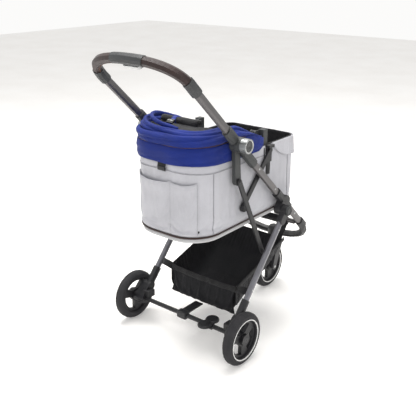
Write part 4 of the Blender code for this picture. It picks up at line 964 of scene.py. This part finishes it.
def add_front_net():
    """The grey net pocket on the front wall, with an elastic edge."""
    half = 0.128
    table, weights = [], []
    for up in spaced(0.0, 1.0, 22):
        line = []
        for across in spaced(-1.0, 1.0, 50):
            bulge = (1 - across ** 10) * (0.006 + 0.018 * math.sin(math.pi * (0.12 + 0.62 * up)) ** 1.2)
            bulge -= 0.010 * smooth_step((abs(across) - 0.86) / 0.14)
            sag = 0.006 * (1 - across ** 2) * up ** 2
            line.append(Vector((across * half, BAG_LOW.y - 0.0025 - bulge, 0.500 + 0.086 * up - sag)))
            weights.append(1.0 if abs(across) > 0.97 or up < 0.03 or up > 0.97 else 0.0)
        table.append(line)
    net = grid_piece("front_net_pocket", table, grey_mesh)
    simulate(net, 0.004, weights, growth=0.03, gravity=0.6, frames=16)
    kept = corners(net).reshape(22, 50, 3)
    outward(thicken(net, 0.0010))
    put(net, "bag", "black_fabric")
    cloth(net, table, "stretched", ["bag_walls"])
    elastic = tube("front_net_elastic", [Vector(point) for point in kept[-1]], 0.0026, webbing)
    put(elastic, "bag", "black_fabric")


add_front_net()


# ---- Folded canopy ----

# The heights between which each fold would turn from one body to the next; the script makes two points from
# them and uses neither.
LOWER_FOLD_TURNS = (0.7235, 0.7520)
UPPER_FOLD_TURNS = (0.7480, 0.7700)

# The folded canopy's top, as (distance behind the rear axle, height)
TOP_LINE = [(-0.238, 0.702), (-0.218, 0.708), (-0.175, 0.725), (-0.128, 0.741), (-0.098, 0.750),
            (-0.008, 0.757), (0.122, 0.759)]


def canopy_top(t):
    return between(at(t, 0.0).y - AXLE_Y, TOP_LINE)


def swept(name, reach, section, material, columns, steps):
    """A closed tube along the bag's rim from one side round the rear to the other.
    section(t, angle) gives how far out from the rim's line and how high its surface is."""
    table = []
    for t in spaced(-reach, reach, steps):
        line = []
        for column in range(columns):
            grow, z = section(t, 2 * math.pi * column / columns)
            line.append(at(t, z, grow))
        table.append(line)
    return cap_ends(grid_piece(name, table, material, close_columns=True), steps, columns)


BAND_REACH = t_behind(-0.233)


def band_hem(t):
    return between(abs(t), [(0.10, 0.6675), (0.20, 0.6640), (0.28, 0.6600)]) + 0.0010 * wave(t * 14.0, 0.0)


def band_section(t, angle):
    """The smooth blue sleeve over the rim: it hangs a little below it outside, and is tucked in inside."""
    up = 0.5 + 0.5 * math.sin(angle)
    out = math.cos(angle)
    end = smooth_step((BAND_REACH - abs(t)) / 0.035)
    low = between(end, [(0.0, 0.672), (1.0, band_hem(t))]) if out > 0 else 0.672
    top = min(canopy_top(t) - 0.004, 0.7235)
    z = low + (top - low) * up
    fold = 0.0030 * wave(t * 12.0 + up * 2.5, up * 2.5, 1.0)
    fold += 0.0017 * wave(t * 28.0 + up * 12.0, up * 5.0, 5.0)
    near_hub = math.exp(-((abs(t) - t_behind(-0.063)) / 0.03) ** 2)
    fold += 0.0022 * near_hub * math.sin(up * 10.0 + t * 60.0)
    if out > 0:
        belly = math.sin(math.pi * min(1.0, up * 0.9 + 0.12)) ** 0.7
        grow = 0.0030 + (0.0030 + 0.0050 * belly) * end ** 0.4 + fold * end
    else:
        grow = -0.0062 - 0.0030 * math.sin(math.pi * up) + fold * 0.4
    blend_in = min(1.0, abs(out) / 0.35)
    middle = -0.001
    if up < 0.5:
        middle = 0.0034 if out > 0 else -0.0064
    return middle + (grow - middle) * smooth_step(blend_in) ** 0.6, z


def add_band():
    band = swept("canopy_band_sleeve", BAND_REACH, band_section, blue_cloth, columns=40, steps=260)
    put(band, "bag", "blue_fabric", "canopy_band")
    lengths = spaced(-BAND_REACH + 0.04, BAND_REACH - 0.04, 300)
    path = [at(t, band_hem(t) + 0.0055, 0.0094 + 0.0006 * wave(t * 13.0, 0.5, 1.0)) for t in lengths]
    row = stitches("band_hem_stitches", path, [facing(t) for t in lengths], thread_blue)
    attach(row, "bag")
    zip_path = [at(t, min(canopy_top(t) - 0.006, 0.7245) + 0.0008 * wave(t * 17.0, 9.0), 0.0038)
                for t in spaced(-BAND_REACH + 0.01, BAND_REACH - 0.01, 200)]
    teeth = tube("canopy_zip", zip_path, 0.0013, zip_tape)
    put(teeth, "bag", "blue_fabric")


add_band()


def roll_section(t, angle, centre, half_wide, half_high, twist, seed):
    """A gathered roll of cloth: a soft oval with long, twisting creases."""
    crease = abs(math.sin(1.5 * angle + twist * t + 1.3 * wave(t * 6.0, seed)))
    ridge = 0.38 * (crease ** 0.6 - 0.62)
    ripple = 0.10 * wave(math.cos(angle) * 1.6 + t * 9.0, math.sin(angle) * 1.6, seed) + 0.05 * wave(
        math.cos(angle) * 4.0 + t * 40.0, math.sin(angle) * 4.0, seed + 3.0)
    size = 0.97 + ridge + ripple
    return centre[0] + half_wide * size * math.cos(angle), centre[1] + half_high * size * math.sin(angle)


def lower_roll(t, angle):
    top = canopy_top(t)
    low = min(0.7225, top - 0.006)
    ends = smooth_step((t_behind(-0.226) - abs(t)) / 0.05)
    half = (top - low) / 2 * 0.96
    wide = 0.0065 + 0.0085 * ends
    return roll_section(t, angle, (-0.0045, low + half), wide, half, 7.0, 2.0)


def upper_roll(t, angle):
    top = canopy_top(t)
    ends = smooth_step((t_behind(-0.208) - abs(t)) / 0.10)
    lift = 0.004 + 0.006 * math.exp(-((t - 0.12) / 0.10) ** 2) + 0.0035 * wave(t * 7.0, 6.0)
    half = 0.0035 + 0.0075 * ends
    centre = (-0.0165, top - 0.004 + lift * ends)
    return roll_section(t, angle, centre, 0.006 + 0.0065 * ends, half, -9.0, 8.0)


def add_rolls():
    lower = swept("canopy_lower_fold", t_behind(-0.224), lower_roll, blue_cloth, columns=44, steps=280)
    outward(lower)
    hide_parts("canopy_roll")
    start, end = ((0, 0, height) for height in LOWER_FOLD_TURNS)
    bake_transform(lower)
    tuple(start)
    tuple(end)
    upper = swept("canopy_upper_fold", t_behind(-0.206), upper_roll, blue_cloth, columns=36, steps=260)
    outward(upper)
    start, end = ((0, 0, height) for height in UPPER_FOLD_TURNS)
    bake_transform(upper)
    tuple(start)
    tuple(end)


add_rolls()


def add_canopy_loops():
    """Loose loops of the canopy's edge that lie over the rear left corner, and the dark net inside them."""
    loops = (
        ("canopy_edge_loop", [(-0.115, 0.030, 0.758), (-0.070, 0.070, 0.762), (0.0, 0.090, 0.766),
                              (0.060, 0.084, 0.770), (0.104, 0.056, 0.774), (0.128, 0.012, 0.774),
                              (0.131, -0.048, 0.766), (0.126, -0.103, 0.752)], 0.0080),
        ("canopy_inner_loop", [(-0.040, 0.064, 0.770), (0.010, 0.076, 0.778), (0.055, 0.068, 0.786),
                               (0.090, 0.040, 0.790), (0.106, -0.003, 0.786), (0.104, -0.048, 0.772),
                               (0.094, -0.083, 0.757)], 0.0068),
    )
    for name, route, radius in loops:
        path = []
        steps = 90
        for step in range(steps + 1):
            place = step / steps * (len(route) - 1)
            index = min(len(route) - 2, int(place))
            part = place - index
            before, after = route[max(0, index - 1)], route[min(len(route) - 1, index + 2)]
            first, last = route[index], route[index + 1]
            spot = [0.5 * (2 * first[k] + (last[k] - before[k]) * part
                            + (2 * before[k] - 5 * first[k] + 4 * last[k] - after[k]) * part ** 2
                            + (3 * first[k] - before[k] - 3 * last[k] + after[k]) * part ** 3)
                    for k in range(3)]
            path.append(Vector((spot[0], AXLE_Y + spot[1], spot[2])))
        table = []
        for index, point in enumerate(path):
            before, after = path[max(0, index - 1)], path[min(steps, index + 1)]
            along = (after - before).normalized()
            side = along.cross(Vector((0, 0, 1))).normalized()
            up = side.cross(along)
            share = index / steps
            taper = 0.45 + 0.55 * smooth_step(min(share, 1 - share) / 0.12)
            ring = []
            for column in range(24):
                angle = 2 * math.pi * column / 24
                crease = abs(math.sin(angle * 1.5 + share * 9.0 + wave(share * 5.0, radius * 900)))
                size = radius * taper * (1 + 0.2 * (crease ** 0.6 - 0.6)
                                         + 0.12 * wave(share * 14.0, math.cos(angle), math.sin(angle)))
                ring.append(point + (side * math.cos(angle) * 0.85 + up * math.sin(angle)) * size)
            table.append(ring)
        loop = grid_piece(name, table, blue_cloth, close_columns=True)
        cap_ends(loop, len(table), 24)
        put(loop, "canopy_front_bow", "blue_fabric")

    table, weights = [], []
    for along in spaced(0.0, 1.0, 30):
        line = []
        for across in spaced(-1.0, 1.0, 60):
            y = AXLE_Y + 0.078 - 0.125 * along
            half = 0.116 - 0.020 * (1 - along) ** 2
            z = 0.764 - 0.010 * along + 0.0035 * wave(across * 3.0, along * 3.0, 11.0)
            z += 0.002 * wave(across * 9.0, along * 7.0, 12.0) - 0.004 * (1 - across ** 2)
            line.append(Vector((across * half, y - 0.02 * abs(across) ** 3, z)))
            weights.append(1.0 if abs(across) > 0.96 or min(along, 1 - along) < 0.03 else 0.0)
        table.append(line)
    net = grid_piece("canopy_net_fold", table, black_mesh)
    simulate(net, 0.006, weights, growth=0.05, gravity=0.6, frames=18)
    outward(thicken(net, 0.0016))
    put(net, "canopy_front_bow", "black_fabric")
    cloth(net, table, "gathered", ["canopy_edge_loop"])


add_canopy_loops()


BUCKLE_TILT = -0.55  # radians


def add_window_roll():
    """The rolled net window, tied down with a blue strap and a small buckle."""
    low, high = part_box("window_roll")
    high.x -= 0.012
    middle = (low + high) / 2 - Vector((0, 0, 0.004))
    radius = (high.z - low.z) / 2 - 0.0015
    steps, columns = 70, 40
    table = []
    for step in range(steps):
        share = step / (steps - 1)
        x = low.x + (high.x - low.x) * share
        tie = math.exp(-((x - 0.006) / 0.013) ** 2)
        ring = []
        for column in range(columns):
            angle = 2 * math.pi * column / columns
            wrap = 0.07 * ((angle / (2 * math.pi) + 0.15 * math.sin(share * 5)) % 1.0)
            ripple = 0.06 * wave(x * 40.0, math.cos(angle), math.sin(angle))
            size = radius * (0.94 - wrap - 0.17 * tie + ripple)
            end = min(share, 1 - share)
            size *= 0.86 + 0.14 * smooth_step(end / 0.03)
            ring.append(Vector((x, middle.y + size * math.cos(angle) + 0.002 * wave(x * 12, 3.0),
                                middle.z + size * math.sin(angle))))
        table.append(ring)
    roll = grid_piece("window_net_roll", table, black_mesh, close_columns=True)
    cap_ends(roll, steps, columns)
    put(roll, "canopy_front_bow", "black_fabric", "window_roll")
    for side, x in (("left", high.x), ("right", low.x)):
        spiral = []
        for step in range(60):
            turn = step / 59 * 5.0 * math.pi
            reach = radius * (0.12 + 0.72 * step / 59)
            spiral.append((x + (0.0006 if x > 0 else -0.0006), middle.y + reach * math.cos(turn),
                           middle.z + reach * math.sin(turn)))
        wound = tube(f"window_roll_end_{side}", spiral, 0.0009, webbing)
        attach(wound, "canopy_front_bow")
    around, normals = [], []
    for step in range(41):
        angle = 2 * math.pi * step / 40
        out = Vector((0.0, math.cos(angle), math.sin(angle)))
        around.append(Vector((0.006, middle.y, middle.z)) + out * radius * 0.86)
        normals.append(out)
    strap = strip("window_strap", around, normals, 0.016, 0.0016, blue_webbing)
    put(strap, "canopy_front_bow", "blue_fabric")
    tail = [(0.006, middle.y + 0.010, middle.z + 0.006), (0.006, middle.y + 0.022, middle.z - 0.003),
            (0.007, middle.y + 0.036, middle.z - 0.010), (0.009, middle.y + 0.052, middle.z - 0.012)]
    ups = [(0, 0.4, 1), (0, 0.6, 0.8), (0, 0.4, 0.9), (0, 0.1, 1)]
    tie = strip("window_strap_tail", tail, ups, 0.016, 0.0014, blue_webbing)
    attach(tie, "canopy_front_bow")
    buckle = rounded_box("window_buckle", (0.026, 0.017, 0.006), (0.007, middle.y + 0.024, middle.z - 0.0005),
                         black_plastic, 0.0016, BUCKLE_TILT)
    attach(buckle, "canopy_front_bow")
    bar = rounded_box("window_buckle_bar", (0.021, 0.003, 0.0075),
                      (0.007, middle.y + 0.024, middle.z + 0.0005), lever_metal, 0.0010, BUCKLE_TILT)
    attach(bar, "canopy_front_bow")


add_window_roll()


TAB_PLACE, TAB_TOP, TAB_END = -0.008, 0.676, 0.6425  # length round from the rear middle, and heights


def add_tabs():
    """Black webbing: the tab under the band at the rear, and the straps at the bag's side clips."""
    points = [on_wall(TAB_PLACE, z, 0.0028 + 0.002 * math.sin((TAB_TOP - z) * 90))
              for z in spaced(TAB_TOP, TAB_END, 9)]
    tab = strip("rear_tab", points, [facing(0.0)] * 9, 0.031, 0.0026, webbing)
    put(tab, "bag", "black_fabric")
    snap = rounded_box("rear_tab_buckle", (0.029, 0.005, 0.012), on_wall(TAB_PLACE, 0.6505, 0.0055),
                       black_plastic)
    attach(snap, "bag")
    for name, side in SIDES:
        t = side * t_behind(-0.263)
        points = [on_wall(t, z, 0.0016) for z in spaced(0.667, 0.566, 20)]
        strap = strip(f"side_webbing_{name}", points, [facing(t)] * 20, 0.024, 0.0018, webbing)
        put(strap, "bag", "black_fabric")
        edge = side * t_behind(-0.240)
        path = [on_wall(edge, z, 0.0012) for z in spaced(0.662, 0.628, 8)]
        fold = tube(f"gusset_edge_{name}", path, 0.0016, webbing)
        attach(fold, "bag")


add_tabs()


# ---- Basket ----

BASKET_LOW, BASKET_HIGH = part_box("shopping_basket")
REAR_Y, FRONT_Y = BASKET_HIGH.y, BASKET_LOW.y
BOTTOM_LINE = [(FRONT_Y, 0.2890), (FRONT_Y + 0.028, 0.2330), (FRONT_Y + 0.140, 0.1615), (REAR_Y, 0.1010)]
TOP_HEM = [(FRONT_Y, 0.2915), (REAR_Y, 0.2020)]


def add_basket():
    """A sling of black cloth: floor and sides in one piece, and a rear panel with a hem."""
    half = BASKET_HIGH.x
    columns, rows = 92, 70
    table, weights = [], []
    for along in spaced(0.0, 1.0, rows):
        y = FRONT_Y + (REAR_Y - 0.004 - FRONT_Y) * along
        low, high = between(y, BOTTOM_LINE), between(y, TOP_HEM)
        depth = max(0.004, high - low)
        width = half - 0.004
        side_share = depth / (depth + width)
        line = []
        for across in spaced(-1.0, 1.0, columns):
            side, a = (1 if across >= 0 else -1), abs(across)
            if a < 1 - side_share:
                x, up = a / (1 - side_share) * width, 0.0
            else:
                up = (a - 1 + side_share) / side_share
                x = width
            near = math.exp(-(((a - 1 + side_share) / 0.10) ** 2))
            x -= 0.012 * near
            z = low + depth * up + 0.010 * near * min(1.0, depth / 0.08)
            z -= 0.006 * math.sin(math.pi * along) * (1 - (x / half) ** 2) * (1 - up)
            z += 0.0024 * wave(x * 20, y * 14, 4.0) * (1 - up)
            bow = 0.0035 * wave(y * 22.0, up * 2.0, 9.0) * math.sin(math.pi * min(1.0, up))
            line.append(Vector((side * (x + bow), y, z)))
            weights.append(1.0 if a > 0.985 or along < 0.012 or along > 0.985 else 0.0)
        table.append(line)
    sling = grid_piece("basket_sling", table, black_cloth)
    simulate(sling, 0.0085, weights, growth=0.045, gravity=0.8, frames=22)
    outward(thicken(sling, 0.0016))
    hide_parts("shopping_basket")
    cloth(sling, table, "hung", ["front_crossbar", "rear_leg_left", "rear_leg_right"])
    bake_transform(sling)

    table, weights = [], []
    rear_rows, rear_columns = 30, 80
    for up in spaced(0.0, 1.0, rear_rows):
        line = []
        for across in spaced(-1.0, 1.0, rear_columns):
            drop = 0.005 * (1 - across ** 2) * up
            z = 0.1015 + (0.2025 - 0.1015) * up - drop
            y = REAR_Y - 0.003 - 0.006 * up + 0.010 * math.sin(math.pi * up) * (1 - across ** 4)
            y += 0.0035 * wave(across * 5.0 + up, up * 2.2, 14.0)
            x = across * (half - 0.005 - 0.012 * math.sin(math.pi * up) * abs(across) ** 5)
            line.append(Vector((x, y, z)))
            weights.append(1.0 if abs(across) > 0.975 or up < 0.02 or up > 0.97 else 0.0)
        table.append(line)
    panel = grid_piece("basket_rear_panel", table, black_cloth)
    simulate(panel, 0.008, weights, growth=0.05, gravity=0.8, frames=22)
    kept = corners(panel).reshape(rear_rows, rear_columns, 3)
    outward(thicken(panel, 0.0018))
    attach(panel, "rear_legs")
    cloth(panel, table, "hung", ["rear_leg_left", "rear_leg_right"])
    hem_points = [Vector(point) for point in kept[-1]]
    hem = strip("basket_rear_hem", [point + Vector((0, 0.0012, -0.008)) for point in hem_points],
                [Vector((0, 1, 0.05))] * len(hem_points), 0.019, 0.0030, webbing)
    put(hem, "rear_legs", "black_fabric")
    for name, side in SIDES:
        edge = [Vector((side * (half - 0.003), y, between(y, TOP_HEM)))
                for y in spaced(FRONT_Y, REAR_Y - 0.005, 40)]
        normals = [Vector((side, 0, 0))] * len(edge)
        binding = strip(f"basket_side_hem_{name}", [point - Vector((0, 0, 0.006)) for point in edge], normals,
                        0.014, 0.0026, webbing)
        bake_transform(binding)
        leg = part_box(f"rear_leg_{name}")
        inner = leg[0].x if side > 0 else leg[1].x
        tab = strip(f"basket_tab_{name}", [(side * (half - 0.006), REAR_Y - 0.008, 0.196),
                                           ((side * half + inner) / 2, REAR_Y - 0.009, 0.2005),
                                           (inner - side * 0.0006, REAR_Y - 0.008, 0.203)],
                    [(0, 1, 0.6)] * 3, 0.024, 0.003, webbing)
        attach(tab, "rear_legs")
        hanger = strip(f"basket_hanger_{name}", [(side * 0.122, FRONT_Y + 0.004, 0.286),
                                                 (side * 0.124, FRONT_Y - 0.008, 0.306),
                                                 (side * 0.126, FRONT_Y - 0.020, 0.328),
                                                 (side * 0.127, FRONT_Y - 0.0265, 0.343)],
                       [(0, -0.8, -0.5)] * 4, 0.034, 0.0022, webbing)
        put(hanger, "frame", "black_fabric")
    bar_low, bar_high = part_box("front_crossbar")
    middle = (bar_low + bar_high) / 2
    table = []
    for across in spaced(-0.140, 0.140, 90):
        ring = []
        for column in range(22):
            angle = 2 * math.pi * column / 22
            size = 0.0104 + 0.0010 * wave(across * 34.0, math.cos(angle) * 1.4, math.sin(angle) * 1.4)
            hang = 0.010 * max(0.0, -math.sin(angle)) ** 3
            ring.append(Vector((across, middle.y + size * math.cos(angle),
                                middle.z + size * math.sin(angle) - hang)))
        table.append(ring)
    sleeve = grid_piece("basket_front_sleeve", table, black_cloth, close_columns=True)
    cap_ends(sleeve, len(table), 22)
    put(sleeve, "frame", "black_fabric")


add_basket()


# ---- Wheels, hubs, handle and fastenings ----

def add_wheel_rings():
    for node, body, sides in (
        ("tyre_rear_left", "wheel_rear_left", (1,)), ("tyre_rear_right", "wheel_rear_right", (-1,)),
        ("tyre_front", "front_wheel", (1, -1)),
    ):
        low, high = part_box(node)
        centre = (low + high) / 2
        half = (high.x - low.x) / 2
        for side in sides:
            label = f"{node}_ring_{'left' if side > 0 else 'right'}"
            ring = spun_x(label, [(0.0664, half - 0.004), (0.0672, half - 0.0002), (0.0680, half + 0.0005),
                                  (0.0695, half + 0.0005), (0.0703, half - 0.0001), (0.0700, half - 0.004)],
                          centre, white_plastic, 72, side)
            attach(ring, body)
            if body == "front_wheel":  # the fork covers its hub
                continue
            cap = spun_x(f"{node}_hub_{'left' if side > 0 else 'right'}",
                         [(0.0001, half - 0.006), (0.0001, half + 0.0004), (0.0085, half + 0.0004),
                          (0.0105, half - 0.0006), (0.0112, half - 0.003), (0.0112, half - 0.006)],
                         centre, fork_plastic, 36, side)
            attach(cap, body)


add_wheel_rings()


HUB_CENTRE = Vector((0.0, AXLE_Y - 0.050, 0.720))


def add_hub_faces():
    for name, side in SIDES:
        low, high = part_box(f"hub_cap_{name}")
        outer = max(abs(low.x), abs(high.x))
        face = spun_x(f"hub_disc_{name}", [(0.0001, outer - 0.0026), (0.0001, outer - 0.0004),
                                           (0.0150, outer - 0.0007), (0.0172, outer - 0.0012),
                                           (0.0172, outer - 0.0026)], HUB_CENTRE, disc_face, 48, side)
        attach(face, "frame")
        ring = spun_x(f"hub_ring_{name}", [(0.0174, outer - 0.0022), (0.0177, outer + 0.0002),
                                           (0.0188, outer + 0.0007), (0.0200, outer + 0.0003),
                                           (0.0204, outer - 0.0010), (0.0190, outer - 0.0022)],
                      HUB_CENTRE, ring_metal, 64, side)
        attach(ring, "frame")


add_hub_faces()

COLLAR_YZ = Vector((0.0, AXLE_Y + 0.1575, 0.918287))
UP_GRIP = Vector((0.0, 0.6730, 0.7396))
GRIP_NORMAL = Vector((0.0, -0.7396, 0.6730))
GRIP_SPAN, GRIP_RISE, GRIP_POWER = 0.178, 0.095, 2 / 2.4


def grip_centre(degrees):
    angle = math.radians(degrees)
    across = math.copysign(abs(math.cos(angle)) ** GRIP_POWER, math.cos(angle)) * GRIP_SPAN
    return Vector((across, 0.0, 0.0)) + COLLAR_YZ + UP_GRIP * GRIP_RISE * math.sin(angle) ** GRIP_POWER


def add_grip_details():
    for name, first, last in (("left", 14.2, 73.0), ("right", 165.8, 107.0)):
        path, normals = [], []
        for degrees in spaced(first, last, 60):
            centre = grip_centre(degrees)
            along = (grip_centre(degrees + 0.5) - grip_centre(degrees - 0.5)).normalized()
            inward = along.cross(GRIP_NORMAL).normalized()
            if inward.dot(COLLAR_YZ - centre) < 0:
                inward.negate()
            out = (inward * 0.86 - GRIP_NORMAL * 0.5).normalized()
            path.append(centre + out * 0.0151)
            normals.append(out)
        bead = tube(f"grip_seam_{name}", path, 0.0009, zip_tape)
        put(bead, "handle", "brown_leather")
        for row, shift in (("upper", 0.0022), ("lower", -0.0022)):
            line = []
            for point, normal, ahead in zip(path, normals, path[1:] + path[-1:]):
                along = (ahead - point).normalized() if ahead != point else (path[-1] - path[-2]).normalized()
                line.append(point + along.cross(normal).normalized() * shift - normal * 0.0001)
            threads = stitches(f"grip_stitches_{row}_{name}", line, normals, thread_tan, 0.0030, 0.0022,
                               0.00045)
            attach(threads, "handle")


add_grip_details()


LINK_FACE = 0.1846  # the link bars' outer faces


def add_fastenings():
    """Rivets and screw heads on the frame, legs and fold links."""
    leg_top, leg_way = Vector((0.0, AXLE_Y - 0.302933, 0.436105)), Vector((0.0, 0.65867, -0.75243))
    tube_way = Vector((0.0, -0.72297, -0.69088))
    for name, side in SIDES:
        leg_face = max(abs(corner.x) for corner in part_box(f"rear_leg_{name}"))
        for index, distance in enumerate((0.075, 0.300)):
            place = leg_top + leg_way * distance
            place.x = side * leg_face
            head = dome(f"leg_rivet_{index}_{name}", place, (side, 0, 0), 0.0036, 0.0014, lever_metal)
            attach(head, "rear_legs")
        main_face = max(abs(corner.x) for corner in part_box(f"main_tube_{name}"))
        for index, distance in enumerate((0.150, 0.285, 0.470)):
            place = HUB_CENTRE + tube_way * distance
            place.x = side * main_face
            head = dome(f"tube_rivet_{index}_{name}", place, (side, 0, 0), 0.0034, 0.0013, lever_metal)
            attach(head, "frame")
        bolt = dome(f"link_bolt_{name}", (side * LINK_FACE, AXLE_Y - 0.057, 0.600), (side, 0, 0),
                    0.0062, 0.0030, black_plastic)
        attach(bolt, f"link_{name}")
        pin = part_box(f"leg_pin_{name}")
        outer = max(abs(pin[0].x), abs(pin[1].x))
        ring = spun_x(f"leg_hub_ring_{name}", [(0.0105, outer - 0.002), (0.0108, outer + 0.0008),
                                               (0.0122, outer + 0.0014), (0.0140, outer + 0.0008),
                                               (0.0143, outer - 0.002)], leg_top, black_plastic, 40, side)
        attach(ring, "frame")


add_fastenings()


# ---- Floor, backdrop, lights and camera ----

def add_stage():
    paper = Shader("pale_floor", 0.9, Specular_IOR_Level=0.1)
    stain = paper.noise(2.2, 4.0, 0.55)
    paper.set(Base_Color=paper.ramp(stain, 0.35, 0.7, (0.93, 0.915, 0.895), (0.955, 0.945, 0.93)))
    paper.set(Emission_Color=paper.ramp(stain, 0.35, 0.7, (0.98, 0.965, 0.95), (1.0, 0.995, 0.99)))
    paper.set(Emission_Strength=paper.spread(stain, 0.3, 0.7, 0.13, 0.15))
    bm = bmesh.new()
    bmesh.ops.create_grid(bm, x_segments=2, y_segments=2, size=9.0)
    linked("floor", baked(bm, "floor"), paper.material)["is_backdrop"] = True


def add_light(name, place, target, size, power, colour=(1.0, 1.0, 1.0)):
    light = bpy.data.lights.new(name, "AREA")
    light.shape = "DISK"
    light.size = size
    light.energy = power
    light.color = colour
    lamp = linked(name, light)
    lamp.location = place
    lamp.rotation_euler = (Vector(target) - Vector(place)).to_track_quat("-Z", "Y").to_euler()


add_stage()
add_light("overhead", (0.5, -0.2, 3.2), (0, 0, 0.4), 2.4, 118.0, (1.0, 0.99, 0.97))
add_light("behind_camera", (-2.8, 2.2, 2.4), (0, 0, 0.5), 1.4, 34.0)
add_light("left_fill", (2.4, 2.0, 1.9), (0, 0, 0.4), 1.6, 10.0, (0.97, 0.98, 1.0))
world = bpy.data.worlds.new("studio")
scene.world = world
world.use_nodes = True
sky = world.node_tree
seen_sky, lit_sky = sky.nodes.new("ShaderNodeBackground"), sky.nodes["Background"]
for background, strength in ((seen_sky, 0.97), (lit_sky, 0.72)):
    background.inputs["Color"].default_value = (1.0, 0.995, 0.985, 1.0)
    background.inputs["Strength"].default_value = strength
sky_mix = sky.nodes.new("ShaderNodeMixShader")
sky.links.new(sky_mix.inputs["Fac"], sky.nodes.new("ShaderNodeLightPath").outputs["Is Camera Ray"])
sky.links.new(sky_mix.inputs[1], lit_sky.outputs["Background"])
sky.links.new(sky_mix.inputs[2], seen_sky.outputs["Background"])
sky.links.new(sky.nodes["World Output"].inputs["Surface"], sky_mix.outputs["Shader"])
scene.view_settings.view_transform = "Standard"

FOCAL_PIXELS, PICTURE_PIXELS = 648.8, 416
CAMERA_AIM = Vector((0.58578, -0.72736, -0.35751))
camera_data = bpy.data.cameras.new("camera")
camera_data.sensor_width = 36.0
camera_data.lens = camera_data.sensor_width * FOCAL_PIXELS / PICTURE_PIXELS
camera = bpy.data.objects.new("camera", camera_data)
camera.location = (-1.299, AXLE_Y + 1.4851, 1.241)
camera.rotation_euler = CAMERA_AIM.to_track_quat("-Z", "Y").to_euler()
scene.collection.objects.link(camera)
scene.camera = camera

visual_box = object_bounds()
sizes = {name: [[round(value, 5) for value in corner] for corner in box]
         for name, box in (("cad", cad_box), ("visual", visual_box))}
